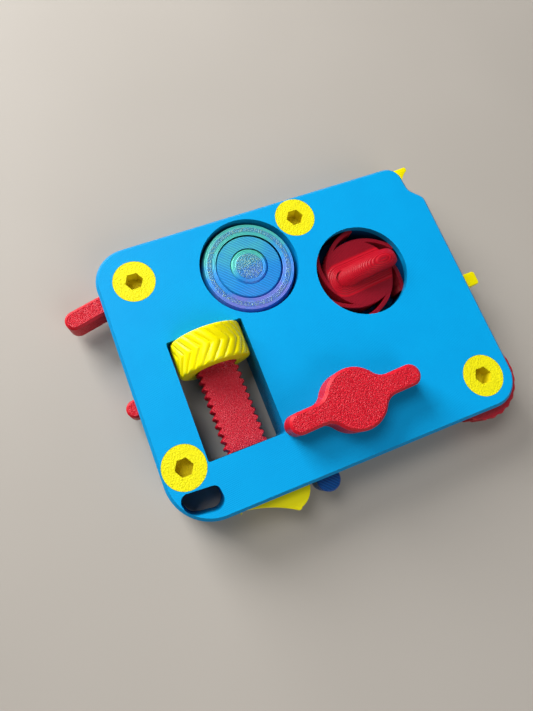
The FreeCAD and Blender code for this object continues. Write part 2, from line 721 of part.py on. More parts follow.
def button_pocket():
    """The button's way through the left wall, and the wider room for flange and spring."""
    narrow = BUTTON_WIDTH / 2 + PLAY / 2
    wide = BUTTON_FLANGE_WIDTH / 2 + PLAY
    way = rectangle(LEFT - 5, BUTTON_FLANGE_X, BUTTON_Y - narrow, BUTTON_Y + narrow)
    room = rectangle(BUTTON_FLANGE_X - PLAY, BUTTON_POCKET_X, BUTTON_Y - wide, BUTTON_Y + wide)
    return way.fuse(room).removeSplitter()


def make_push_button():
    """The button: a round-ended stem with a flange that keeps it in."""
    half = BUTTON_WIDTH / 2
    stem = rounded_face([(BUTTON_TIP_X, BUTTON_Y - half, half - TINY), (BUTTON_BACK_X, BUTTON_Y - half, 0),
                         (BUTTON_BACK_X, BUTTON_Y + half, 0), (BUTTON_TIP_X, BUTTON_Y + half, half - TINY)])
    wide = BUTTON_FLANGE_WIDTH / 2
    flange = rectangle(BUTTON_FLANGE_X, BUTTON_BACK_X, BUTTON_Y - wide, BUTTON_Y + wide)
    button = slab(stem, LEVER_BOTTOM_Z, LEVER_TOP_Z)
    button = chamfer_rim(button, LEVER_TOP_Z, 0.8)
    return button.fuse(slab(flange, LEVER_BOTTOM_Z, LEVER_TOP_Z)).removeSplitter()


def make_button_spring():
    """A folded leaf spring between the flange and the end of the pocket."""
    low_y = BUTTON_Y - BUTTON_FLANGE_WIDTH / 2 + 1
    high_y = BUTTON_Y + BUTTON_FLANGE_WIDTH / 2 - 1
    room = BUTTON_POCKET_X - BUTTON_BACK_X - SPRING_WIRE
    step = room / SPRING_LEGS
    legs = []
    for index in range(SPRING_LEGS):
        x = BUTTON_BACK_X + index * step
        foot, head = (low_y, high_y) if index % 2 == 0 else (high_y, low_y)
        corners = [Vector(x, foot, 0), Vector(x + SPRING_WIRE, foot, 0),
                   Vector(x + step + SPRING_WIRE, head, 0), Vector(x + step, head, 0)]
        legs.append(slab(Part.Face(Part.makePolygon(corners + corners[:1])),
                         LEVER_BOTTOM_Z + 1, LEVER_TOP_Z - 1))
    return legs[0].fuse(legs[1:]).removeSplitter()


# Rocker

ROCKER_HIGH_Z = LEVER_TOP_Z
ROCKER_LOW_Z = LEVER_TOP_Z - ROCKER_THICK


def rocker_bar():
    """The rocker's outline: a bar along the edge, a tab at one end and a beak at the other."""
    half = ROCKER_ARM / 2
    tab_low = ROCKER_TAB_Y - ROCKER_TAB_WIDTH / 2
    tab_high = ROCKER_TAB_Y + ROCKER_TAB_WIDTH / 2
    tab_tip = RIGHT + ROCKER_TAB_OUT
    notch_x = RIGHT - NOTCH_DEPTH
    return rounded_face([
        (ROCKER_X - half, tab_low, 3.0),
        (tab_tip, tab_low, 1.6),
        (tab_tip, tab_high, 1.6),
        (ROCKER_X + half, tab_high, 2.0),
        (ROCKER_X + half, TOP - 12.5, 6.0),
        (notch_x + 1.6, TOP - 6.0, 4.0),
        (notch_x + 7.9, TOP - 1.4, 1.2),
        (notch_x + 5.6, TOP + 1.3, 1.0),
        (ROCKER_X + 1.0, TOP - 1.2, 7.0),
        (ROCKER_X - half, TOP - 12.0, 4.0),
    ])


def rocker_pocket():
    """Room for the rocker's swing, open at the tab and at the notch."""
    half = ROCKER_ARM / 2
    return rounded_face([
        (ROCKER_X - half - ROCKER_ROOM, ROCKER_TAB_Y - ROCKER_TAB_WIDTH / 2 - 2.4, 2.0),
        (RIGHT + 5, ROCKER_TAB_Y - ROCKER_TAB_WIDTH / 2 - 2.4, 0),
        (RIGHT + 5, ROCKER_TAB_Y + ROCKER_TAB_WIDTH / 2 + 2.4, 0),
        (ROCKER_X + half + ROCKER_ROOM, ROCKER_TAB_Y + ROCKER_TAB_WIDTH / 2 + 2.4, 0),
        (ROCKER_X + half + 1.0, ROCKER_Y, 0),
        (ROCKER_X + half + 1.4, TOP - 13.5, 0),
        (RIGHT + 5, TOP - 12.0, 0),
        (RIGHT + 5, TOP + 5, 0),
        (ROCKER_X + 4.0, TOP + 5, 0),
        (ROCKER_X - half - 1.0, TOP - 4.0, 4.0),
        (ROCKER_X - half - ROCKER_ROOM, TOP - 12.0, 4.0),
        (ROCKER_X - half - 1.0, ROCKER_Y, 0),
    ])


def make_rocker_lever():
    """The rocking lever on its pin."""
    rocker = slab(rocker_bar(), ROCKER_LOW_Z, ROCKER_HIGH_Z)
    return rocker.cut(disc(ROCKER_X, ROCKER_Y, PIVOT_PIN_R + RUNNING_FIT, 0, FACE_Z))


# Trigger blade

def trigger_outline():
    """The blade's outline: a hollow finger edge, a sharp tip and a round back."""
    tip = Vector(TRIGGER_X + TRIGGER_REACH, BOTTOM - TRIGGER_OUT, 0)
    tip_low = tip + Vector(-1.1, 0.1, 0)
    tip_high = tip + Vector(0.8, 0.7, 0)
    heel = Vector(TRIGGER_X - 3.4, TRIGGER_Y - 4.6, 0)
    hollow = Vector(TRIGGER_X + TRIGGER_HOLLOW_X, BOTTOM - TRIGGER_HOLLOW_OUT, 0)
    back = tip + Vector(4.9, 3.4, 0)
    top_right = tip + Vector(TRIGGER_BACK, 11.8, 0)
    top_left = Vector(TRIGGER_X, TRIGGER_Y + TRIGGER_HUB_R, 0)
    left = Vector(TRIGGER_X - TRIGGER_HUB_R, TRIGGER_Y, 0)
    turn = Vector(*polar(TRIGGER_HUB_R, 135, TRIGGER_X, TRIGGER_Y), 0)
    return Part.Face(Part.Wire([
        Part.makeLine(left, heel), Part.Arc(heel, hollow, tip_low).toShape(),
        Part.Arc(tip_low, tip, tip_high).toShape(), Part.Arc(tip_high, back, top_right).toShape(),
        Part.makeLine(top_right, top_left),
        Part.Arc(top_left, turn, left).toShape()]))


def trigger_pocket():
    """Room for the blade at rest and pressed in."""
    end = TRIGGER_X + TRIGGER_REACH + TRIGGER_BACK + TRIGGER_ROOM
    return rounded_face([
        (TRIGGER_X - TRIGGER_HUB_R - 1.4, TRIGGER_Y + TRIGGER_HUB_R + 0.6, 4.0),
        (TRIGGER_X - TRIGGER_HUB_R - 1.4, BOTTOM - 5, 0),
        (end, BOTTOM - 5, 0),
        (end, BOTTOM + 13.0, 0),
        (TRIGGER_X + 10, BOTTOM + 16.2, 3.0),
    ])


def make_trigger_blade():
    """The sprung blade on its pin."""
    blade = slab(trigger_outline(), LEVER_BOTTOM_Z, LEVER_TOP_Z)
    hollow = [e for e in blade.Edges if e.BoundBox.ZMin > LEVER_TOP_Z - TINY
              and e.BoundBox.XLength > 15 and e.BoundBox.YMin < BOTTOM - 5]
    blade = blade.makeChamfer(0.7, hollow)
    return blade.cut(disc(TRIGGER_X, TRIGGER_Y, PIVOT_PIN_R + RUNNING_FIT, 0, FACE_Z))


def make_trigger_spring():
    """A bowed leaf between the blade's inner edge and the pocket's wall."""
    foot = Vector(TRIGGER_X + 8.6, TRIGGER_Y + 6.5, 0)
    crown = Vector(TRIGGER_X + 15.2, TRIGGER_Y + 4.6, 0)
    nose = Vector(TRIGGER_X + 21.0, TRIGGER_Y - 2.7, 0)
    wire = Vector(0, SPRING_WIRE, 0)
    leaf = Part.Face(Part.Wire([
        Part.Arc(foot, crown, nose).toShape(), Part.makeLine(nose, nose + wire),
        Part.Arc(nose + wire, crown + wire, foot + wire).toShape(), Part.makeLine(foot + wire, foot)]))
    return slab(leaf, LEVER_BOTTOM_Z + 1, LEVER_TOP_Z - 1)


# Paddle lever

def paddle_pocket():
    """Room for the paddle's hub and its swing."""
    hub = Part.Face(Part.Wire(Part.makeCircle(PADDLE_HUB_R + PLAY, Vector(PADDLE_X, PADDLE_Y, 0))))
    fan = fan_face(PADDLE_X, PADDLE_Y, PADDLE_REACH, PADDLE_ANGLE - PADDLE_IN,
                   PADDLE_ANGLE + PADDLE_OUT, PADDLE_R + PLAY)
    return hub.fuse(fan).removeSplitter()


def make_paddle_lever():
    """The round-ended paddle on its pin."""
    arm = arm_face(PADDLE_X, PADDLE_Y, PADDLE_ANGLE, PADDLE_REACH, 2 * PADDLE_R)
    hub = disc(PADDLE_X, PADDLE_Y, PADDLE_HUB_R, LEVER_BOTTOM_Z, LEVER_TOP_Z)
    paddle = slab(arm, LEVER_BOTTOM_Z, LEVER_TOP_Z).fuse(hub).removeSplitter()
    paddle = chamfer_rim(paddle, LEVER_TOP_Z, 0.6)
    return paddle.cut(disc(PADDLE_X, PADDLE_Y, PIVOT_PIN_R + RUNNING_FIT, 0, FACE_Z))


NODES = {
    "base_plate": make_base_plate,
    "middle_frame": make_middle_frame,
    "cover_plate": make_cover_plate,
    "case_screws": make_case_screws,
    "gyro_outer_ring": make_gyro_outer_ring,
    "gyro_middle_ring": make_gyro_middle_ring,
    "gyro_inner_disc": make_gyro_inner_disc,
    "spring_knob": make_spring_knob,
    "spring_arms": make_spring_arms,
    "spring_rim": make_spring_rim,
    "threaded_bolt": make_threaded_bolt,
    "knurled_nut": make_knurled_nut,
    "nut_core": make_nut_core,
    "wing_knob": make_wing_knob,
    "wing_retainer": make_wing_retainer,
    "side_lever": make_side_lever,
    "corner_wheel": make_corner_wheel,
    "push_button": make_push_button,
    "button_spring": make_button_spring,
    "rocker_lever": make_rocker_lever,
    "rocker_pin": lambda: make_pivot_pin(pivot_places()[0]),
    "trigger_blade": make_trigger_blade,
    "trigger_spring": make_trigger_spring,
    "trigger_pin": lambda: make_pivot_pin(pivot_places()[1]),
    "paddle_lever": make_paddle_lever,
    "paddle_pin": lambda: make_pivot_pin(pivot_places()[2]),
}


def main():
    """Build every node and write it as a STEP file."""
    os.makedirs("parts", exist_ok=True)
    for name, make in NODES.items():
        shape = make()
        shape.exportStep(f"parts/{name}.step")
        print(name, "solids", len(shape.Solids), "valid", shape.isValid(), "volume", round(shape.Volume, 1))


main()
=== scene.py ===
"""Handheld busy board: finishes, fine shapes, studio and camera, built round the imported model."""
import json
import logging
import math
from dataclasses import dataclass, replace
from enum import Enum
from typing import Optional, Sequence, Union

import bmesh
import bpy
import numpy as np
from mathutils import Euler, Matrix, Vector

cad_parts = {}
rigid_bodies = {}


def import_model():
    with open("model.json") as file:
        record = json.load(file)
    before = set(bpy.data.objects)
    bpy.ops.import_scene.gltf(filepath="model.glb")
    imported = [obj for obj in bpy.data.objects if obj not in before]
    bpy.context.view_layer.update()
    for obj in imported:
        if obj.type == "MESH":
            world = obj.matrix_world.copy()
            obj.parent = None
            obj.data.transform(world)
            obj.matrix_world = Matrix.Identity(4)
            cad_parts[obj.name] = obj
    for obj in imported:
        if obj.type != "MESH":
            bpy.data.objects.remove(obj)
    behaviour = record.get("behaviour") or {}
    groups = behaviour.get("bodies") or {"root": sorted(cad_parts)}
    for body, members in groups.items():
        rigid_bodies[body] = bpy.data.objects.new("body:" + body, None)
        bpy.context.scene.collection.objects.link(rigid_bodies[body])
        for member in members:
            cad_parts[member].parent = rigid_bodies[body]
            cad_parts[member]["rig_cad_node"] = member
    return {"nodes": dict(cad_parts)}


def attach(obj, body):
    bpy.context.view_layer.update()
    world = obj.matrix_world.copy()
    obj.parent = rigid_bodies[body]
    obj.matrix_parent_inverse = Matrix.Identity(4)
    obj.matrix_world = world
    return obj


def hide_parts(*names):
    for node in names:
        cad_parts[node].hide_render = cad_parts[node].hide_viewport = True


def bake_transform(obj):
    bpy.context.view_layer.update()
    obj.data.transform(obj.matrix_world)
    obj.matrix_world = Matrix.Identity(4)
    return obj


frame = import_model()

LOG = logging.getLogger("busy_board")
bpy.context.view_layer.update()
MM = 0.001
FULL_TURN = 2 * math.pi
SHARP_ANGLE = math.radians(32)
WELD_DISTANCE = 1e-7
TINY = 1e-6
Colour = tuple[int, int, int]
Point = tuple[float, float, float]
Flat = tuple[float, float]
Array = np.ndarray
Piece = bpy.types.Object
Inputs = bpy.types.NodeInputs
Outputs = bpy.types.NodeOutputs
Socket = bpy.types.NodeSocket
Value = Union[float, Socket]


class Slot(Enum):
    """The material slots of the record."""

    PLATE = "sky_blue"
    SCREW = "yellow_speckle"
    SILK = "silk_blue"
    KNOB = "dark_red"
    GRAIN = "red_grain"
    GLOSS = "yellow_gloss"
    PADDLE = "deep_blue"
    PIN = "grey_pin"


class Rings(Enum):
    """Which lines the upper face of a gyro piece was printed in."""

    CIRCLES = "circles"
    STRANDS = "strands"


def linear(colour: object) -> object:
    """Turn a screen colour into linear light: straight at the dark end, a power of 2.4 above it.

    Args:
        colour: Three levels from 0 to 255, or a socket.

    Returns:
        Three linear levels and the alpha from 0 to 1, or the socket unchanged.
    """
    if isinstance(colour, Socket):
        return colour
    shares = [level / 255 for level in colour]
    return (*(s / 12.92 if s <= 0.04045 else ((s + 0.055) / 1.055) ** 2.4 for s in shares), 1.0)


# Node helpers

class NodeBench:
    """Short ways to add nodes to one tree."""

    def __init__(self, tree: bpy.types.NodeTree) -> None:
        """Keep the tree that nodes go into."""
        self.tree = tree

    def add(self, kind: str, **settings: object) -> bpy.types.Node:
        """Add a node and set its properties.

        Args:
            kind: The node's type name, without the ShaderNode prefix unless it is a group node.
            settings: Properties to set on it.

        Returns:
            The new node.
        """
        node = self.tree.nodes.new(kind if kind.startswith("NodeGroup") else "ShaderNode" + kind)
        for name, value in settings.items():
            setattr(node, name, value)
        return node

    def feed(self, socket: Socket, value: Value) -> None:
        """Link a socket to a socket, or set it to a number or a vector."""
        if isinstance(value, Socket):
            self.tree.links.new(value, socket)
        else:
            socket.default_value = value

    def calc(self, operation: str, *values: Value) -> Socket:
        """One Math node on one, two or three values.

        Args:
            operation: Blender's name of the operation.
            values: Numbers or sockets, in order.

        Returns:
            The result's socket.
        """
        node = self.add("Math", operation=operation)
        for socket, value in zip(node.inputs, values):
            self.feed(socket, value)
        return node.outputs[0]

    def product(self, first: Value, *others: Value) -> Socket:
        """The product of two or more values."""
        for value in others:
            first = self.calc("MULTIPLY", first, value)
        return first

    def ramp(self, value: Value, low: float, high: float) -> Socket:
        """A soft step: 0 below low, 1 above high, smooth between."""
        node = self.add("MapRange", interpolation_type="SMOOTHSTEP", clamp=True)
        self.feed(node.inputs["Value"], value)
        node.inputs["From Min"].default_value = low
        node.inputs["From Max"].default_value = high
        return node.outputs["Result"]

    def mix(self, share: Value, first: object, second: object) -> Socket:
        """Mix two colours by a share.

        Args:
            share: 0 gives the first colour, 1 the second.
            first, second: Colour sockets or screen colours.

        Returns:
            The mixed colour's socket.
        """
        node = self.add("Mix", data_type="RGBA", clamp_factor=True)
        self.feed(node.inputs["Factor"], share)
        for name, colour in (("A", first), ("B", second)):
            wanted = next(s for s in node.inputs if s.name == name and s.type == "RGBA")
            self.feed(wanted, linear(colour))
        return next(s for s in node.outputs if s.type == "RGBA")

    def between(self, share: Value, first: Value, second: Value) -> Socket:
        """first where share is 0, second where it is 1."""
        return self.calc("MULTIPLY_ADD", self.calc("SUBTRACT", second, first), share, first)

    def wave(self, value: Value, pitch: Value) -> Socket:
        """A ripple from 0 to 1 that repeats every pitch: half of one plus the sine of the turn."""
        turns = self.calc("DIVIDE", value, pitch)
        return self.calc("MULTIPLY_ADD", self.calc("SINE", self.product(turns, FULL_TURN)), 0.5, 0.5)

    def split(self, vector: Socket) -> Outputs:
        """A vector's X, Y and Z."""
        node = self.add("SeparateXYZ")
        self.feed(node.inputs[0], vector)
        return node.outputs

    def noise(self, position: Socket, scale: Value, detail: float) -> Socket:
        """Noise from 0 to 1, with a scale in ripples for each metre."""
        node = self.add("TexNoise")
        self.feed(node.inputs["Vector"], position)
        self.feed(node.inputs["Scale"], scale)
        node.inputs["Detail"].default_value = detail
        return node.outputs["Fac"]

    def bump(self, height: Value, depth: float, under: Optional[Socket] = None) -> Socket:
        """A surface's direction from its relief.

        Args:
            height: The relief from 0 to 1.
            depth: Its depth in metres.
            under: The direction that an earlier relief gave.

        Returns:
            The direction's socket.
        """
        node = self.add("Bump")
        node.inputs["Distance"].default_value = depth
        self.feed(node.inputs["Height"], height)
        if under is not None:
            self.feed(node.inputs["Normal"], under)
        return node.outputs["Normal"]

    def shade(self, colour: Socket, roughness: Value, normal: Optional[Socket] = None,
              **settings: float) -> None:
        """Add the surface shader and join it to the material's output.

        Args:
            colour, roughness, normal: What the shader is fed.
            settings: Further values by input name, with _ for a space.
        """
        shader = self.add("BsdfPrincipled")
        self.feed(shader.inputs["Base Color"], colour)
        self.feed(shader.inputs["Roughness"], roughness)
        if normal is not None:
            self.feed(shader.inputs["Normal"], normal)
        for name, value in settings.items():
            shader.inputs[name.replace("_", " ")].default_value = value
        self.feed(self.add("OutputMaterial").inputs["Surface"], shader.outputs["BSDF"])


def blank_material(name: str) -> tuple[bpy.types.Material, NodeBench]:
    """A new material with an empty tree, and the bench to fill it."""
    made = bpy.data.materials.new(name)
    made.use_nodes = True
    made.node_tree.nodes.clear()
    return made, NodeBench(made.node_tree)


class EffectGroup:
    """A node group with named outputs, and inputs with their starts (None for a vector), built once."""

    name = ""
    inputs: dict[str, Optional[float]] = {}
    outputs: Sequence[str] = ()

    @classmethod
    def tree(cls) -> bpy.types.NodeTree:
        """The group's tree, made when it is first asked for."""
        found = bpy.data.node_groups.get(cls.name)
        if found is not None:
            return found
        tree = bpy.data.node_groups.new(cls.name, "ShaderNodeTree")
        for label, start in cls.inputs.items():
            kind = "NodeSocketVector" if start is None else "NodeSocketFloat"
            socket = tree.interface.new_socket(name=label, in_out="INPUT", socket_type=kind)
            if start is not None:
                socket.default_value = start
        for label in cls.outputs:
            tree.interface.new_socket(name=label, in_out="OUTPUT", socket_type="NodeSocketFloat")
        bench = NodeBench(tree)
        ends = bench.add("NodeGroupInput"), bench.add("NodeGroupOutput")
        cls.wire(bench, ends[0].outputs, ends[1].inputs)
        return tree

    @classmethod
    def wire(cls, bench: NodeBench, given: Outputs, wanted: Inputs) -> None:
        """Fill the group's tree."""
        raise NotImplementedError

    @classmethod
    def place(cls, bench: NodeBench, **values: Value) -> Outputs:
        """Put the group into a material.

        Args:
            bench: The material's tree.
            values: A value or a socket for each input by name.

        Returns:
            The group's outputs.
        """
        node = bench.add("Group")
        node.node_tree = cls.tree()
        for label, value in values.items():
            bench.feed(node.inputs[label], value)
        return node.outputs


class PrintedLayers(EffectGroup):
    """Print lines: ripples by height on walls, straight strands on level faces."""

    name = "printed_layers"
    inputs = {"Position": None, "Facing": None, "Layer": 0.0003, "Strand": 0.0005, "Bearing": 0.785,
              "Flat": 0.93}
    outputs = ("Height", "Level")
    level_by = 0.8

    @classmethod
    def wire(cls, bench: NodeBench, given: Outputs, wanted: Inputs) -> None:
        """Height is the wall's ripple or the strands', by how level the face is."""
        place, facing = bench.split(given["Position"]), bench.split(given["Facing"])
        past = bench.calc("SUBTRACT", bench.calc("ABSOLUTE", facing["Z"]), given["Flat"])
        past = bench.calc("DIVIDE", past, bench.calc("SUBTRACT", 1.0, given["Flat"]))
        level = bench.ramp(past, 0.0, cls.level_by)
        across = bench.product(place["X"], bench.calc("COSINE", given["Bearing"]))
        across = bench.calc("MULTIPLY_ADD", place["Y"], bench.calc("SINE", given["Bearing"]), across)
        walls = bench.wave(place["Z"], given["Layer"])
        strands = bench.wave(across, given["Strand"])
        bench.feed(wanted["Height"], bench.between(level, walls, strands))
        bench.feed(wanted["Level"], level)


class PebbleGrain(EffectGroup):
    """A pebbled skin: rounded bumps of one size, and a mask of the highest few for specks and painted
    glints.
    """

    name = "pebble_grain"
    inputs = {"Position": None, "Size": 0.0006}
    outputs = ("Height", "Speck_and_glint")
    detail = 1.5
    speck_and_glint_from = 0.58
    speck_and_glint_by = 0.7

    @classmethod
    def wire(cls, bench: NodeBench, given: Outputs, wanted: Inputs) -> None:
        """Noise times domes of the same size; the speck and painted glint mask is where the noise is
        highest.
        """
        scale = bench.calc("DIVIDE", 1.0, given["Size"])
        noise = bench.noise(given["Position"], scale, cls.detail)
        cells = bench.add("TexVoronoi", feature="F1")
        bench.feed(cells.inputs["Vector"], given["Position"])
        bench.feed(cells.inputs["Scale"], scale)
        dome = bench.calc("SUBTRACT", 1.0, cells.outputs["Distance"])
        bench.feed(wanted["Height"], bench.product(noise, dome))
        bench.feed(wanted["Speck_and_glint"], bench.ramp(noise, cls.speck_and_glint_from, cls.speck_and_glint_by))


class ShadeDrift(EffectGroup):
    """Slow change of shade over a surface, from one print pass to the next."""

    name = "shade_drift"
    inputs = {"Position": None, "Size": 0.02}
    outputs = ("Share",)
    detail = 3.0
    low = 0.3
    high = 0.7

    @classmethod
    def wire(cls, bench: NodeBench, given: Outputs, wanted: Inputs) -> None:
        """Low noise, stretched to the whole range."""
        scale = bench.calc("DIVIDE", 1.0, given["Size"])
        noise = bench.noise(given["Position"], scale, cls.detail)
        bench.feed(wanted["Share"], bench.ramp(noise, cls.low, cls.high))


# Finishes

@dataclass(frozen=True)
class Finish:
    """A surface made of nodes, and the slot that its pieces belong to."""

    name: str
    slot: Slot

    def material(self) -> bpy.types.Material:
        """Build the material once and return it."""
        found = bpy.data.materials.get(self.name)
        if found is None:
            found, bench = blank_material(self.name)
            self.wire(bench)
        return found

    def wire(self, bench: NodeBench) -> None:
        """Fill the material's tree."""
        raise NotImplementedError


@dataclass(frozen=True)
class PrintedFinish(Finish):
    """A printed plastic: wall and level colours, print lines, and a pebbled skin on level faces.

    Sizes, depths and heights are metres. grain_on_walls is the share of the pebbled skin that walls
    get, and flat how far up a face points before it counts as level. Where a painted recess shade
    is given, it takes over from one given height down to a lower one, and below it, as shade in
    sockets.
    """

    # Wall and level colours: where they differ, painted shade and painted light by which way a face points.
    wall: Colour
    level: Colour
    dark: Colour
    # The speck colour: flecks of the plastic on the screws, painted glints on the red parts and the bolt.
    speck_and_glint: Colour = (255, 255, 255)
    wall_roughness: float = 0.42
    level_roughness: float = 0.5
    drift: float = 0.25
    speck_and_glint_share: float = 0.0
    grain_size: float = 0.0007
    grain_depth: float = 0.0
    grain_on_walls: float = 0.0
    layer: float = 0.0003
    layer_depth: float = 0.00003
    strand: float = 0.0005
    bearing: float = math.radians(45)
    line_colour: float = 0.0
    flat: float = 0.93
    specular: float = 0.2
    # Painted shade: the colour that takes over low in recesses such as hex sockets.
    recess_shade: Optional[Colour] = None
    recess_shade_from: float = 0.0204
    recess_shade_to: float = 0.0196

    def wire(self, bench: NodeBench) -> None:
        """Mix the colours by level, drift, lines, specks and depth; the grain lies over the lines.

        Level paints light and shade by facing, the specks paint glints on the red parts, and depth
        paints shade in recesses.
        """
        place = bench.add("TexCoord")
        position = place.outputs["Object"]
        lines = PrintedLayers.place(
            bench, Position=position, Facing=place.outputs["Normal"], Layer=self.layer, Strand=self.strand,
            Bearing=self.bearing, Flat=self.flat)
        grain = PebbleGrain.place(bench, Position=position, Size=self.grain_size)
        level = lines["Level"]
        shade = bench.product(ShadeDrift.place(bench, Position=position)["Share"], self.drift)
        if self.line_colour:
            shade = bench.calc("MULTIPLY_ADD", lines["Height"], self.line_colour, shade)
        # Wall against level colour by facing: painted light and shade where the two differ.
        colour = bench.mix(shade, bench.mix(level, self.wall, self.level), self.dark)
        # Specks on level faces: the plastic's flecks on the screws, painted glints on the red parts and the
        # bolt.
        if self.speck_and_glint_share:
            colour = bench.mix(bench.product(grain["Speck_and_glint"], self.speck_and_glint_share, level), colour, self.speck_and_glint)
        # Painted shade in recesses: below a height the colour turns to the socket shade.
        if self.recess_shade is not None:
            above = bench.ramp(bench.split(position)["Z"], self.recess_shade_to, self.recess_shade_from)
            colour = bench.mix(above, self.recess_shade, colour)
        normal = bench.bump(lines["Height"], self.layer_depth)
        if self.grain_depth:
            share = bench.between(level, self.grain_on_walls, 1.0)
            normal = bench.bump(bench.product(grain["Height"], share), self.grain_depth, normal)
        rough = bench.between(level, self.wall_roughness, self.level_roughness)
        bench.shade(colour, rough, normal, Specular_IOR_Level=self.specular)


@dataclass(frozen=True)
class SilkFinish(Finish):
    """A silk plastic that shifts from sea green through blue to violet round the gyro.

    centre is the gyro's middle in metres, and slant the direction in degrees that turns violet.
    bias and swing shift and stretch the change of colour. band is the pair of radii between which
    the upper face is dimpled. Other sizes and depths are metres too.
    """

    rings: Rings
    centre: Point
    green: Colour
    blue: Colour
    violet: Colour
    shade: Colour
    gold: Colour
    band: Flat
    slant: float = -88.0
    bias: float = 0.0
    swing: float = 1.0
    turn_start: float = -0.35
    to_blue: Flat = (-0.9, 0.1)
    to_violet: Flat = (0.0, 0.9)
    hub: float = 0.001
    drift_size: float = 0.006
    drift: float = 0.5
    layer: float = 0.0004
    strand: float = 0.00105
    bearing: float = math.radians(45)
    circle: float = 0.0006
    circle_shade: float = 0.45
    strand_shade: float = 0.5
    line_depth: float = 0.00006
    band_edge: float = 0.0002
    band_shade: float = 0.6
    dimple_size: float = 0.0005
    dimple_depth: float = 0.0005
    dimple_gold: float = 0.75
    dimple_rise: Flat = (0.22, 0.42)
    roughness: Flat = (0.34, 0.5)
    metallic: float = 0.2

    def wire(self, bench: NodeBench) -> None:
        """Colour by the turn round the middle, darker print lines, and golden dimples in the band."""
        place = bench.add("TexCoord")
        position = place.outputs["Object"]
        shift = bench.add("Mapping")
        shift.inputs["Location"].default_value = [-value for value in self.centre]
        bench.feed(shift.inputs["Vector"], position)
        flat = bench.split(shift.outputs[0])
        x, y = flat["X"], flat["Y"]
        radius = bench.calc("SQRT", bench.calc("MULTIPLY_ADD", x, x, bench.product(y, y)))
        colour = self.silk(bench, position, x, y, radius)
        lines = PrintedLayers.place(bench, Position=position, Facing=place.outputs["Normal"],
                                    Layer=self.layer, Strand=self.strand, Bearing=self.bearing)
        grain = PebbleGrain.place(bench, Position=position, Size=self.dimple_size)
        level = lines["Level"]
        dimpled = bench.product(self.past(bench, radius, self.band[0]), level,
                                bench.calc("SUBTRACT", 1.0, self.past(bench, radius, self.band[1])))
        colour = bench.mix(bench.product(dimpled, self.band_shade), colour, self.shade)
        raised = bench.ramp(grain["Height"], *self.dimple_rise)
        colour = bench.mix(bench.product(raised, self.dimple_gold, dimpled), colour, self.gold)
        if self.rings is Rings.STRANDS:
            ripple = lines["Height"]
            stripe = bench.product(ripple, self.strand_shade, level)
        else:
            circles = bench.wave(radius, self.circle)
            ripple = bench.between(level, lines["Height"], circles)
            stripe = bench.product(circles, self.circle_shade, level)
        colour = bench.mix(stripe, colour, self.shade)
        normal = bench.bump(ripple, self.line_depth)
        normal = bench.bump(bench.product(grain["Height"], dimpled), self.dimple_depth, normal)
        bench.shade(colour, bench.between(dimpled, *self.roughness), normal, Metallic=self.metallic)

    def silk(self, bench: NodeBench, position: Socket, x: Socket, y: Socket, radius: Socket) -> Socket:
        """The silk's colour.

        The turn is the way along the slant over the radius and hub, plus the drift, times the swing,
        plus the bias and the start.

        Args:
            bench: The material's tree.
            position: The place on the piece.
            x, y, radius: The way from the gyro's middle.

        Returns:
            The colour's socket.
        """
        lean = math.radians(self.slant)
        along = bench.calc("MULTIPLY_ADD", y, math.sin(lean), bench.product(x, math.cos(lean)))
        turn = bench.calc("DIVIDE", along, bench.calc("ADD", radius, self.hub))
        drift = ShadeDrift.place(bench, Position=position, Size=self.drift_size)["Share"]
        turn = bench.calc("MULTIPLY_ADD", drift, self.drift, turn)
        turn = bench.calc("MULTIPLY_ADD", turn, self.swing, self.bias + self.turn_start)
        colour = bench.mix(bench.ramp(turn, *self.to_blue), self.green, self.blue)
        return bench.mix(bench.ramp(turn, *self.to_violet), colour, self.violet)

    def past(self, bench: NodeBench, radius: Socket, limit: float) -> Socket:
        """1 outside a radius, 0 inside it, with a soft border."""
        return bench.ramp(radius, limit - self.band_edge, limit + self.band_edge)


# Plate blue: the darker wall colour is painted shade on walls and chamfers.
PLATE = PrintedFinish(
    "plate_blue", Slot.PLATE, wall=(0, 134, 188), level=(0, 158, 220),
    dark=(0, 118, 190), speck_and_glint=(30, 178, 240), wall_roughness=0.45,
    level_roughness=0.5, drift=0.1, speck_and_glint_share=0.1, grain_size=0.0005, grain_depth=0.00004,
    specular=0.12, layer=0.0004, layer_depth=0.00004, strand=0.0006, line_colour=0.05)
# The hidden rim: a dark copy of the plate blue, painted shade.
RIM_SHADED_BLUE = replace(PLATE, name="rim_shaded_blue", wall=(0, 54, 98), level=(0, 70, 120))
# Screw heads: the colour low in the hex sockets is painted shade.
SCREW = PrintedFinish(
    "screw_yellow", Slot.SCREW, wall=(216, 202, 8), level=(234, 226, 8),
    dark=(214, 198, 6), speck_and_glint=(176, 170, 14), wall_roughness=0.5,
    level_roughness=0.6, drift=0.2, speck_and_glint_share=0.4, grain_size=0.0006, grain_depth=0.0003,
    layer=0.0004, layer_depth=0.00004, recess_shade=(222, 204, 14))
# Grained red: the darker walls are painted shade, and the pink specks painted glints.
RED_GRAIN = PrintedFinish(
    "grained_red", Slot.GRAIN, wall=(196, 10, 30), level=(210, 16, 38),
    dark=(190, 12, 34), speck_and_glint=(240, 112, 126), wall_roughness=0.45,
    specular=0.28, level_roughness=0.4, drift=0.2, speck_and_glint_share=0.35, grain_size=0.00045,
    grain_depth=0.0006, grain_on_walls=0.06, layer=0.0004, layer_depth=0.00005)
# The corner wheel: a darker copy of the grained red, painted shade under the case's edge.
RED_WHEEL_SHADED = replace(
    RED_GRAIN, name="wheel_red_shaded", wall=(186, 12, 34), level=(180, 12, 38),
    speck_and_glint_share=0.1, grain_depth=0.0001, layer_depth=0.00008)
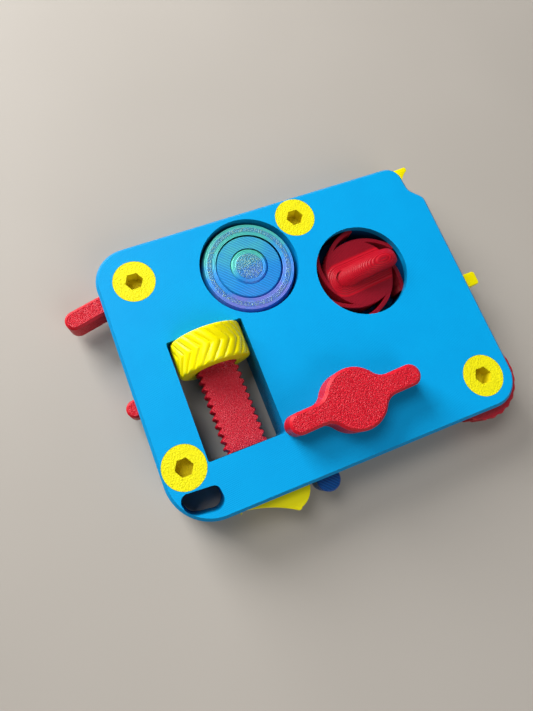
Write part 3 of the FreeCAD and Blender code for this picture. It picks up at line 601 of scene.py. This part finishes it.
# Bolt red: the lighter level faces are a painted highlight, the darker walls painted shade, and the pink
# specks painted glints.
RED_BOLT = PrintedFinish(
    "bolt_red", Slot.GRAIN, wall=(176, 10, 32), level=(202, 30, 50),
    dark=(178, 18, 40), speck_and_glint=(226, 104, 116), specular=0.3,
    level_roughness=0.42, drift=0.3, speck_and_glint_share=0.4, grain_size=0.0004, grain_depth=0.0006,
    layer=0.0004, layer_depth=0.00004, strand=0.0008, line_colour=0.1)
# Knob red: the level faces' darker red is partly the knob's own colour and partly painted shade of the grip
# on the disc.
RED_KNOB = PrintedFinish(
    "knob_red", Slot.KNOB, wall=(184, 14, 34), level=(150, 16, 36),
    dark=(104, 4, 18), level_roughness=0.48, drift=0.1, grain_size=0.0006,
    grain_depth=0.00008, layer_depth=0.00014, strand=0.0006, line_colour=0.3, flat=0.996)
YELLOW_GLOSS = PrintedFinish(
    "grip_yellow", Slot.GLOSS, wall=(240, 228, 0), level=(240, 228, 0),
    dark=(232, 204, 0), wall_roughness=0.3, level_roughness=0.32, grain_size=0.0008,
    grain_depth=0.00003, layer=0.0004, layer_depth=0.00002)
# Paddle: its deep blue is the gyro's silk blue painted darker, as shade under the case.
PADDLE = PrintedFinish(
    "paddle_blue", Slot.PADDLE, wall=(10, 84, 170), level=(8, 80, 150),
    dark=(2, 40, 96), wall_roughness=0.3, level_roughness=0.4, drift=0.2, layer=0.0004,
    layer_depth=0.00008, strand=0.001, line_colour=0.55)
PIN_GREY = PrintedFinish(
    "pin_grey", Slot.PIN, wall=(120, 122, 126), level=(130, 132, 136),
    dark=(90, 92, 96), layer=0.0004)
SILK_OUTER = SilkFinish(
    "silk_outer", Slot.SILK, Rings.CIRCLES, centre=(-0.0122, 0.0328, 0.0115), band=(0.0155, 0.0174),
    green=(84, 204, 180), blue=(34, 152, 236), violet=(128, 132, 224), shade=(28, 88, 168),
    gold=(170, 208, 150))
SILK_MIDDLE = replace(SILK_OUTER, name="silk_middle", rings=Rings.STRANDS, band=(0.0, 0.0001), bias=0.1,
                      swing=0.35)
SILK_DISC = replace(SILK_OUTER, name="silk_disc", band=(-0.001, 0.0056), bias=-0.25)


# Mesh helpers

def link_object(name: str, data: bpy.types.ID) -> Piece:
    """A new object in the scene round a mesh, a light or a camera."""
    made = bpy.data.objects.new(name, data)
    bpy.context.scene.collection.objects.link(made)
    return made


def smooth_piece(name: str, mesh: bpy.types.Mesh) -> Piece:
    """A piece in the scene, smooth-shaded between its sharp edges."""
    mesh.shade_smooth()
    mesh.set_sharp_from_angle(angle=SHARP_ANGLE)
    return link_object(name, mesh)


def sweep_mesh(name: str, rows: Array, closed: bool = False) -> Piece:
    """Make a piece from a grid of points whose columns go round a closed outline.

    Row by row the outline is carried along; point (i, j) joins (i, j+1) and (i+1, j). Open ends are
    closed by a fan to the middle of the end row.

    Args:
        name: The piece's name.
        rows: Points in millimetres, shape (rows, columns, 3), outline turning so that faces look out.
        closed: Whether the last row joins the first, as on a ring.

    Returns:
        The piece, linked to the scene.
    """
    count, around = rows.shape[:2]
    points = rows.reshape(-1, 3)
    first = np.arange(count if closed else count - 1)[:, None]
    column = np.arange(around)[None, :]
    after = (first + 1) % count
    beside = (column + 1) % around
    quads = np.stack([first * around + column, first * around + beside,
                      after * around + beside, after * around + column], -1).reshape(-1, 4)
    faces = quads.tolist()
    if not closed:
        hubs = np.array([rows[0].mean(0), rows[-1].mean(0)])
        start = len(points)
        points = np.vstack([points, hubs])
        ring = np.arange(around)
        low = np.stack([np.full(around, start), (ring + 1) % around, ring], -1)
        base = (count - 1) * around
        high = np.stack([np.full(around, start + 1), base + ring, base + (ring + 1) % around], -1)
        faces += low.tolist() + high.tolist()
    mesh = bpy.data.meshes.new(name)
    mesh.from_pydata((points * MM).tolist(), [], faces)
    mesh.update()
    return smooth_piece(name, mesh)


def smooth_step(share: Array) -> Array:
    """Three times the square less twice the cube of the share, kept from 0 to 1."""
    kept = np.clip(share, 0, 1)
    return kept * kept * (3 - 2 * kept)


def whole_turn(count: int) -> Array:
    """Even angles round a whole turn, the last one short of the first."""
    return np.linspace(0, FULL_TURN, count, endpoint=False)


def round_points(x: float, y: float, radius: Union[float, Array], turn: Array) -> Array:
    """Points (n, 2) round a middle: the radius times the cosine and the sine of the turn."""
    return np.stack([x + radius * np.cos(turn), y + radius * np.sin(turn)], -1)


def band_rows(path: Array, width: Union[float, Array], low: float, high: float, soft: float) -> Array:
    """Carry an upright strip's outline along a flat path.

    At each path point the outline goes round a rectangle width across and from low to high, its
    corners cut back by soft: the sideways place is the unit side vector times the half width, less
    the cut where the outline has one.

    Args:
        path: Points (n, 2) in millimetres.
        width: The strip's thickness, one number or one for each path point.
        low, high: Its heights.
        soft: How far the corners are cut back.

    Returns:
        Points (n, 8, 3).
    """
    ahead = np.gradient(path, axis=0)
    ahead /= np.linalg.norm(ahead, axis=1, keepdims=True)
    side = np.stack([ahead[:, 1], -ahead[:, 0]], -1)
    half = np.broadcast_to(np.asarray(width, float) / 2, (len(path),))
    share = np.array([1, 1, 1, -1, -1, -1, -1, 1.0])
    cut = np.array([0, 0, -soft, soft, 0, 0, soft, -soft])
    levels = np.array([low + soft, high - soft, high, high, high - soft, low + soft, low, low])
    across = half[:, None] * share + cut
    flat = path[:, None, :] + side[:, None, :] * across[:, :, None]
    height = np.broadcast_to(levels[None, :, None], (len(path), len(levels), 1))
    return np.concatenate([flat, height], -1)


def arc_path(start: Array, middle: Array, end: Array, count: int) -> Array:
    """Points on the circle through three points, from the first to the last.

    The circle's centre solves equal distance to the three points; the angle then runs evenly.

    Args:
        start, middle, end: Points (2,).
        count: How many points.

    Returns:
        Points (count, 2).
    """
    matrix = 2 * np.array([middle - start, end - start])
    right = np.array([middle @ middle - start @ start, end @ end - start @ start])
    centre = np.linalg.solve(matrix, right)
    sweep = np.unwrap([math.atan2(*(p - centre)[::-1]) for p in (start, middle, end)])
    return round_points(*centre, np.linalg.norm(start - centre), np.linspace(sweep[0], sweep[2], count))


def rounded_outline(corners: Sequence[Point], count: int = 9) -> Array:
    """A closed outline from corners (x, y, radius), each rounded by a tangent arc.

    The arc leaves and meets the sides at the radius over the tangent of half the corner's angle, and
    its middle lies on the bisector at the radius over the sine of that angle, less the radius.

    Args:
        corners: Corners in millimetres, in order.
        count: Points on each arc.

    Returns:
        Points (n, 2).
    """
    found = []
    for index, (x, y, radius) in enumerate(corners):
        here = np.array([x, y])
        before = np.array(corners[index - 1][:2]) - here
        after = np.array(corners[(index + 1) % len(corners)][:2]) - here
        before, after = before / np.linalg.norm(before), after / np.linalg.norm(after)
        half = math.acos(float(before @ after)) / 2
        back = radius / math.tan(half)
        inward = (before + after) / np.linalg.norm(before + after)
        dip = radius / math.sin(half) - radius
        found.append(arc_path(here + before * back, here + inward * dip, here + after * back, count))
    return np.concatenate(found)


def inset(outline: Array, distance: float) -> Array:
    """Move an outline that runs anticlockwise inwards, square to its direction at each point."""
    ahead = np.roll(outline, -1, 0) - np.roll(outline, 1, 0)
    ahead = ahead / np.linalg.norm(ahead, axis=1, keepdims=True)
    return outline + distance * np.stack([-ahead[:, 1], ahead[:, 0]], -1)


def flat_piece(name: str, outline: Array, hole: Array, low: float, high: float, soft: float) -> Piece:
    """A flat piece with one hole and rounded edges.

    The outline, set in by the softness, is filled, raised and given a round edge that reaches the
    outline again.

    Args:
        name: The piece's name.
        outline, hole: Points (n, 2) in millimetres, both anticlockwise.
        low, high: The piece's heights.
        soft: The edges' radius.

    Returns:
        The piece, linked to the scene.
    """
    curve = bpy.data.curves.new(name, "CURVE")
    curve.dimensions = "2D"
    curve.fill_mode = "BOTH"
    curve.extrude = ((high - low) / 2 - soft) * MM
    curve.bevel_depth = soft * MM
    curve.bevel_resolution = 2
    for path in (inset(outline, soft), inset(hole, -soft)):
        spline = curve.splines.new("POLY")
        spline.points.add(len(path) - 1)
        spline.points.foreach_set("co", np.pad(path * MM, ((0, 0), (0, 2))).ravel())
        spline.use_cyclic_u = True
    form = bpy.data.objects.new(name, curve)
    mesh = bpy.data.meshes.new_from_object(form)
    bpy.data.objects.remove(form)
    bpy.data.curves.remove(curve)
    mesh.name = name
    mesh.transform(Matrix.Translation((0, 0, (low + high) / 2 * MM)))
    work = bmesh.new()
    work.from_mesh(mesh)
    bmesh.ops.remove_doubles(work, verts=work.verts, dist=WELD_DISTANCE)
    bmesh.ops.recalc_face_normals(work, faces=work.faces)
    work.to_mesh(mesh)
    work.free()
    mesh.materials.clear()
    return smooth_piece(name, mesh)


def dress(piece: Piece, finish: Finish) -> None:
    """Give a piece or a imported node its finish."""
    made = finish.material()
    if not piece.material_slots:
        piece.data.materials.append(made)
    for slot in piece.material_slots:
        slot.material = made


def dress_nodes(finish: Finish, *names: str) -> None:
    """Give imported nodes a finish."""
    for name in names:
        dress(frame["nodes"][name], finish)


# Sub-assemblies, in millimetres unless a line says otherwise

class CaseShell:
    """The screwed case: base, frame, cover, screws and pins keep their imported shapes."""

    def build(self) -> list[Piece]:
        """Dress the case's nodes."""
        dress_nodes(PLATE, "base_plate", "middle_frame", "cover_plate")
        dress_nodes(PIN_GREY, "rocker_pin", "trigger_pin", "paddle_pin")
        dress_nodes(SCREW, "case_screws")
        return []


class Gyro:
    """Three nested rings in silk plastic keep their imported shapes."""

    def build(self) -> list[Piece]:
        """Dress the three rings."""
        dress_nodes(SILK_OUTER, "gyro_outer_ring")
        dress_nodes(SILK_MIDDLE, "gyro_middle_ring")
        dress_nodes(SILK_DISC, "gyro_inner_disc")
        return []


@dataclass
class TwistKnob:
    """The knob on six curved arms that bend as it turns.

    step is how far the arms' tops lie below the disc's, and side_gap how far their outer edges stay
    inside their radius.
    """

    x: float = 31.95
    y: float = 15.5
    disc_radius: float = 14.4
    rim_radius: float = 20.6
    arm_count: int = 6
    arm_points: int = 72
    thickness: float = 1.75
    root_swell: float = 0.2
    sweep: float = 92.0
    phase: float = 48.6
    low: float = 7.5
    high: float = 17.5
    step: float = 0.04
    side_gap: float = 0.05
    soft: float = 0.12
    grip_length: float = 27.4
    grip_width: float = 8.4
    grip_angle: float = 5.0
    grip_shift: float = 1.5
    foot_points: int = 160
    foot_rows: int = 14
    foot_reach: float = 4.0
    foot_rise: float = 1.5
    foot_under: float = 0.6
    foot_lift: float = 0.02
    foot_sink: float = 0.3
    foot_gap: float = 0.25
    end_round: float = 6.0

    def arm(self, index: int) -> Piece:
        """One arm, an upright strip that leaves the disc along its edge and winds out to the rim.

        Its outer edge lies at the disc's radius plus the rest of the way to the rim times the square
        of the share of its turn, so the root runs into the disc; the path is half a width inside.

        Args:
            index: Which arm, counted round the knob.

        Returns:
            The arm, curving between case and knob.
        """
        share = np.linspace(0, 1, self.arm_points)
        width = self.thickness * (1 + self.root_swell * (1 - share) ** 2)
        outer = self.disc_radius + (self.rim_radius - self.disc_radius) * share ** 2
        turn = np.radians(self.phase + index * 360 / self.arm_count - self.sweep * share)
        path = round_points(self.x, self.y, outer - width / 2 - self.side_gap, turn)
        top = self.high - self.step
        piece = sweep_mesh(f"spring_arm_{index + 1}", band_rows(path, width, self.low, top, self.soft))
        dress(piece, RED_KNOB)
        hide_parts("spring_arms")
        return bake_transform(piece)

    def foot(self) -> Piece:
        """The hollow flare where the grip meets the disc.

        A stadium outline grows outwards while its height falls with the square of what is left of
        the way; the underside lies just inside the disc.
        """
        turn = whole_turn(self.foot_points)
        along, across = np.cos(turn), np.sin(turn)
        half_bar = (self.grip_length - self.grip_width) / 2
        straight = np.sign(along) * half_bar * smooth_step(np.abs(along) * self.end_round)
        share = np.linspace(0, 1, self.foot_rows)[:, None]
        reach = self.grip_width / 2 - self.foot_under + (self.foot_reach + self.foot_under) * share
        rise = self.foot_rise * (1 - share) ** 2 + self.foot_lift
        sunk = np.full((1, 1), -self.foot_sink)
        lean = math.radians(self.grip_angle)
        found = []
        for out, height in ((reach, rise), (reach[-1:], sunk), (reach[:1], sunk)):
            x = straight + out * along + self.grip_shift
            y = out * across
            near = np.minimum(1.0, (self.disc_radius - self.foot_gap) / np.hypot(x, y))
            x, y = x * near, y * near
            found.append(np.stack([self.x + x * math.cos(lean) - y * math.sin(lean),
                                   self.y + x * math.sin(lean) + y * math.cos(lean),
                                   self.high + np.broadcast_to(height, x.shape)], -1))
        piece = sweep_mesh("grip_foot", np.concatenate(found)[:, ::-1], closed=True)
        dress(piece, RED_KNOB)
        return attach(piece, "twist_knob")

    def build(self) -> list[Piece]:
        """Dress knob and rim, and make the foot of the grip and the arms."""
        dress_nodes(RED_KNOB, "spring_knob")
        # The rim gets a dark copy of the plate blue, painted shade.
        dress_nodes(RIM_SHADED_BLUE, "spring_rim")
        return [self.foot()] + [self.arm(index) for index in range(self.arm_count)]


@dataclass
class BoltAndNut:
    """The bolt with flats and a helical thread, and the herringbone finger nut."""

    x: float = -39.55
    z: float = 15.3
    low_y: float = -35.0
    high_y: float = 12.7
    crest: float = 8.7
    root: float = 7.55
    pitch: float = 3.0
    half_thick: float = 3.7
    bolt_rows: int = 480
    bolt_points: int = 240
    flank: float = 1.15
    flank_start: float = 0.03
    tenon_width: float = 12.0
    tenon_thick: float = 5.6
    tenon_reach: float = 3.0
    nut_radius: float = 14.8
    nut_bore: float = 10.06
    nut_low: float = -2.0
    nut_high: float = 12.4
    nut_rows: int = 56
    bore_rows: int = 4
    ridges: int = 22
    ridge_points: int = 20
    ridge_power: int = 3
    groove: float = 0.62
    groove_fade: float = 0.8
    lean: float = -24.0
    bend: float = 0.004
    edge: float = 1.3

    def rows(self, radius: Union[float, Array], turn: Array, along: Array, limit: float = math.inf) -> Array:
        """Points round the axis.

        Args:
            radius: Their distances from the axis.
            turn: Their angles round it.
            along: Their places along it.
            limit: The height above and below the axis that cuts them off.

        Returns:
            Points (rows, columns, 3).
        """
        up = np.clip(radius * np.sin(turn), -limit, limit)
        across, along, up = np.broadcast_arrays(radius * np.cos(turn), along, up)
        return np.stack([self.x + across, along, self.z + up], -1)

    def bolt(self) -> Piece:
        """The bolt: a helical thread cut off flat above and below, with a tenon at each end.

        The radius swings between root and crest with the fraction of y over pitch plus the turn, a
        triangle eased at crest and root; heights are kept within half the bolt's thickness. A
        tenon's radius is the nearer of its half width over the cosine and its half thickness over
        the sine, so its outline is a rectangle.
        """
        turn = whole_turn(self.bolt_points)[None, :]
        y = np.linspace(self.low_y, self.high_y, self.bolt_rows)[:, None]
        place = (y / self.pitch + turn / FULL_TURN) % 1.0
        ridge = smooth_step(self.flank * (1 - np.abs(2 * place - 1)) - self.flank_start)
        body = self.rows(self.root + (self.crest - self.root) * ridge, turn, y, self.half_thick)
        reach = np.minimum(self.tenon_width / 2 / np.maximum(np.abs(np.cos(turn)), TINY),
                           self.tenon_thick / 2 / np.maximum(np.abs(np.sin(turn)), TINY))
        low = self.rows(reach, turn, np.array([[self.low_y - self.tenon_reach], [self.low_y]]))
        high = self.rows(reach, turn, np.array([[self.high_y], [self.high_y + self.tenon_reach]]))
        piece = sweep_mesh("threaded_bolt_form", np.concatenate([low, body, high])[:, ::-1])
        dress(piece, RED_BOLT)
        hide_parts("threaded_bolt")
        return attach(piece, "case")

    def nut(self) -> Piece:
        """The nut: a ring whose outer radius dips at valleys that lean one way, then the other.

        A valley lies where ridge count times the angle, less the lean times the nearness to the
        middle, is whole. The depth grows with a power of the distance from the ridge, so ridges are
        round and valleys sharp, and fades out at the rims.
        """
        turn = whole_turn(self.ridges * self.ridge_points)[None, :]
        middle = (self.nut_low + self.nut_high) / 2
        half = (self.nut_high - self.nut_low) / 2
        across = np.linspace(-1, 1, self.nut_rows)
        y = middle + across * half
        rim = np.clip((half - np.abs(y - middle)) / self.edge, 0, 1)
        shell = self.nut_radius - self.edge * (1 - np.sqrt(1 - (1 - rim) ** 2))
        near = 1 - np.sqrt(across ** 2 + self.bend)
        phase = self.ridges * (turn - math.radians(self.lean) * near[:, None]) / FULL_TURN
        off_ridge = 2 * np.abs(phase % 1.0 - 0.5)
        fade = smooth_step(rim / self.groove_fade)[:, None]
        depth = self.groove * off_ridge ** self.ridge_power * fade
        outer = self.rows(shell[:, None] - depth, turn, y[:, None])
        bore_y = np.linspace(self.nut_high, self.nut_low, self.bore_rows)[:, None]
        bore = self.rows(self.nut_bore, turn, bore_y)
        piece = sweep_mesh("herringbone_nut", np.concatenate([outer, bore])[:, ::-1], closed=True)
        dress(piece, YELLOW_GLOSS)
        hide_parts("knurled_nut")
        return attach(piece, "nut")

    def build(self) -> list[Piece]:
        """Make bolt and nut."""
        dress_nodes(YELLOW_GLOSS, "nut_core")
        return [self.bolt(), self.nut()]


@dataclass
class EdgePieces:
    """What reaches out of the case's edge, the wing knob and the hidden springs.

    The beak's corners (x, y, radius) and the ends of the bar's sides (y, radius) are taken from the
    rocker's pin, and the blade's points and its spring's from the trigger's pin.
    """

    pin_bore: float = 2.1
    bore_points: int = 48
    lever_high: float = 15.0
    rocker: Flat = (63.6, 26.0)
    rocker_half: float = 3.7
    rocker_low: float = 10.6
    rocker_soft: float = 0.3
    bar_right: Flat = (17.6, 5.0)
    bar_left: Flat = (18.1, 4.0)
    heel_round: float = 3.0
    tab_round: float = 1.1
    tab_root: float = 2.0
    tab_tip: float = 82.3
    tab_low: float = -5.8
    tab_high: float = 0.2
    beak: tuple[Point, ...] = ((6.0, 23.0, 3.0), (9.5, 27.2, 4.0), (11.8, 28.8, 0.8), (11.7, 30.7, 0.8),
                               (1.0, 30.0, 7.0))
    trigger: Flat = (-47.0, -47.5)
    blade_low: float = 5.0
    blade_soft: float = 0.45
    blade_edge: tuple[Flat, ...] = ((-3.3, -8.9), (7.6, -11.35), (17.6, -16.25))
    blade_tip: tuple[Flat, ...] = ((17.6, -16.25), (18.7, -16.4), (19.5, -15.7))
    blade_back: tuple[Flat, ...] = ((19.5, -15.7), (23.6, -13.0), (25.0, -4.6))
    hub_radius: float = 4.6
    hub_turns: Point = (90.0, 135.0, 180.0)
    blade_counts: tuple[int, ...] = (40, 8, 20, 16)
    leaf: float = 0.64
    leaf_low: float = 6.0
    leaf_high: float = 14.0
    leaf_soft: float = 0.1
    button_leaf: tuple[Flat, ...] = ((-66.3, -10.7), (-64.9, -1.9), (-63.4, -10.7), (-62.0, -1.9))
    button_points: int = 61
    trigger_leaf: tuple[Flat, ...] = ((8.9, 6.8), (15.2, 5.0), (20.7, -2.0))
    trigger_points: int = 30

    def bore(self, pin: Flat) -> Array:
        """The outline of a pin's hole."""
        return round_points(*pin, self.pin_bore, whole_turn(self.bore_points))

    def rocker_lever(self) -> Piece:
        """The rocker: a bar with a square tab at one end and a thorn that curves out at the other."""
        x, y = self.rocker
        left, right = x - self.rocker_half, x + self.rocker_half
        tab = [(left, self.tab_low, self.heel_round), (self.tab_tip, self.tab_low, self.tab_round),
               (self.tab_tip, self.tab_high, self.tab_round), (right, self.tab_high, self.tab_root)]
        beak = [(x + dx, y + dy, radius) for dx, dy, radius in self.beak]
        outline = rounded_outline([*tab, (right, y + self.bar_right[0], self.bar_right[1]), *beak,
                                   (left, y + self.bar_left[0], self.bar_left[1])])
        piece = flat_piece("rocker_form", outline, self.bore(self.rocker), self.rocker_low, self.lever_high,
                           self.rocker_soft)
        dress(piece, YELLOW_GLOSS)
        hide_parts("rocker_lever")
        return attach(piece, "rocker_lever")

    def trigger_blade(self) -> Piece:
        """The blade: a hollow finger edge, a sharp tip, a round back and a round hub."""
        pin = np.array(self.trigger)
        edge, tip, back = pin + self.blade_edge, pin + self.blade_tip, pin + self.blade_back
        hub = round_points(*pin, self.hub_radius, np.radians(self.hub_turns))
        edge_count, tip_count, back_count, hub_count = self.blade_counts
        outline = np.concatenate([arc_path(*edge, edge_count), arc_path(*tip, tip_count)[1:],
                                  arc_path(*back, back_count)[1:], arc_path(*hub, hub_count)])
        piece = flat_piece("trigger_form", outline, self.bore(self.trigger), self.blade_low, self.lever_high,
                           self.blade_soft)
        dress(piece, YELLOW_GLOSS)
        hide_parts("trigger_blade")
        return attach(piece, "trigger_blade")

    def leaf_spring(self, name: str, path: Array, finish: PrintedFinish) -> Piece:
        """A leaf bent along a path."""
        piece = sweep_mesh(name, band_rows(path, self.leaf, self.leaf_low, self.leaf_high, self.leaf_soft))
        dress(piece, finish)
        return piece

    def button_spring(self) -> Piece:
        """A folded leaf: straight legs to and fro between flange and pocket end."""
        folds = np.array(self.button_leaf)
        share = np.linspace(0, len(folds) - 1, self.button_points)
        path = np.stack([np.interp(share, np.arange(len(folds)), side) for side in folds.T], -1)
        piece = self.leaf_spring("button_leaf", path, RED_GRAIN)
        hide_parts("button_spring")
        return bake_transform(piece)

    def trigger_spring(self) -> Piece:
        """A bowed leaf between the blade and the pocket's wall."""
        points = np.array(self.trigger) + self.trigger_leaf
        piece = self.leaf_spring("trigger_leaf", arc_path(*points, self.trigger_points), YELLOW_GLOSS)
        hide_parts("trigger_spring")
        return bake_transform(piece)

    def build(self) -> list[Piece]:
        """Dress the edge pieces and make the rocker, the blade and both springs."""
        dress_nodes(RED_GRAIN, "wing_knob", "wing_retainer", "side_lever", "push_button")
        # The corner wheel's darker red is painted shade.
        dress_nodes(RED_WHEEL_SHADED, "corner_wheel")
        dress_nodes(PADDLE, "paddle_lever")
        return [self.rocker_lever(), self.trigger_blade(), self.button_spring(), self.trigger_spring()]


# Studio

@dataclass
class Studio:
    """A pale floor, soft light and a camera near above the board, in metres and degrees.

    Each light is a name, a place, a side and a power in watts.
    """

    camera_place: Point = (-0.06446709, -0.03373823, 0.20751131)
    camera_turn: Point = (14.16372705, -5.09009926, -20.91076227)
    lens: float = 16.6654
    sensor: float = 24.0
    frame_wide: int = 533
    frame_high: int = 711
    shift: Flat = (0.05254717, -0.01712024)
    nearest: float = 0.005
    floor_half: float = 1.5
    floor_drop: float = 0.0002
    floor_drift: float = 0.25
    floor_roughness: float = 0.75
    floor_shades: tuple[Colour, Colour] = ((168, 161, 152), (174, 167, 158))
    lights: tuple[tuple[str, Point, float, float], ...] = (
        ("key_light", (-0.5, 0.98, 0.5), 0.7, 25.0),
        ("top_light", (-0.35, 0.5, 1.05), 0.5, 6.0),
        ("fill_light", (0.2, -0.9, 0.75), 0.7, 4.5))
    sky: Point = (0.9, 0.95, 1.0)
    sky_strength: float = 0.08

    def camera(self) -> None:
        """The camera: lens and shift belong to the frame's width and height."""
        data = bpy.data.cameras.new("board_camera")
        data.sensor_fit = "VERTICAL"
        data.sensor_height = self.sensor
        data.sensor_width = self.sensor * self.frame_wide / self.frame_high
        data.lens = self.lens
        data.shift_x, data.shift_y = self.shift
        data.clip_start = self.nearest
        camera = link_object("board_camera", data)
        camera.location = self.camera_place
        camera.rotation_euler = Euler([math.radians(value) for value in self.camera_turn])
        bpy.context.scene.camera = camera

    def floor(self) -> None:
        """A level pale sheet with a faint unevenness."""
        mesh = bpy.data.meshes.new("pale_floor")
        corner_signs = ((-1, -1), (1, -1), (1, 1), (-1, 1))
        mesh.from_pydata([(x * self.floor_half, y * self.floor_half, -self.floor_drop)
                          for x, y in corner_signs], [], [(0, 1, 2, 3)])
        floor = link_object("pale_floor", mesh)
        made, bench = blank_material("floor_pale")
        position = bench.add("TexCoord").outputs["Object"]
        drift = ShadeDrift.place(bench, Position=position, Size=self.floor_drift)["Share"]
        bench.shade(bench.mix(drift, *self.floor_shades), self.floor_roughness)
        floor.data.materials.append(made)

    def light(self, name: str, place: Point, size: float, power: float) -> None:
        """A square soft light aimed at the board.

        Args:
            name: The light's name.
            place: Where it hangs, in metres.
            size: Its side.
            power: Its power in watts.
        """
        data = bpy.data.lights.new(name, "AREA")
        data.size = size
        data.energy = power
        lamp = link_object(name, data)
        lamp.location = place
        lamp.rotation_euler = (-Vector(place)).to_track_quat("-Z", "Y").to_euler()

    def build(self) -> None:
        """Set up camera, floor, lights and sky."""
        self.camera()
        self.floor()
        for light in self.lights:
            self.light(*light)
        world = bpy.data.worlds.new("soft_room")
        world.use_nodes = True
        background = world.node_tree.nodes["Background"]
        background.inputs["Color"].default_value = (*self.sky, 1.0)
        background.inputs["Strength"].default_value = self.sky_strength
        bpy.context.scene.world = world
        bpy.context.scene.view_settings.view_transform = "Standard"
        bpy.context.scene.view_settings.look = "None"


def corners(box: Sequence[Sequence[float]]) -> list[list[float]]:
    """A box's two corners as plain lists."""
    return [[float(value) for value in corner] for corner in box]


def main() -> None:
    """Build each sub-assembly, then the studio."""
    logging.basicConfig(level=logging.INFO, format="%(message)s")
    assemblies = (CaseShell(), Gyro(), TwistKnob(), BoltAndNut(), EdgePieces())
    for assembly in assemblies:
        for piece in assembly.build():
            LOG.info("%s: %s with %d faces", type(assembly).__name__, piece.name, len(piece.data.polygons))
    Studio().build()


if __name__ == "__main__":
    main()
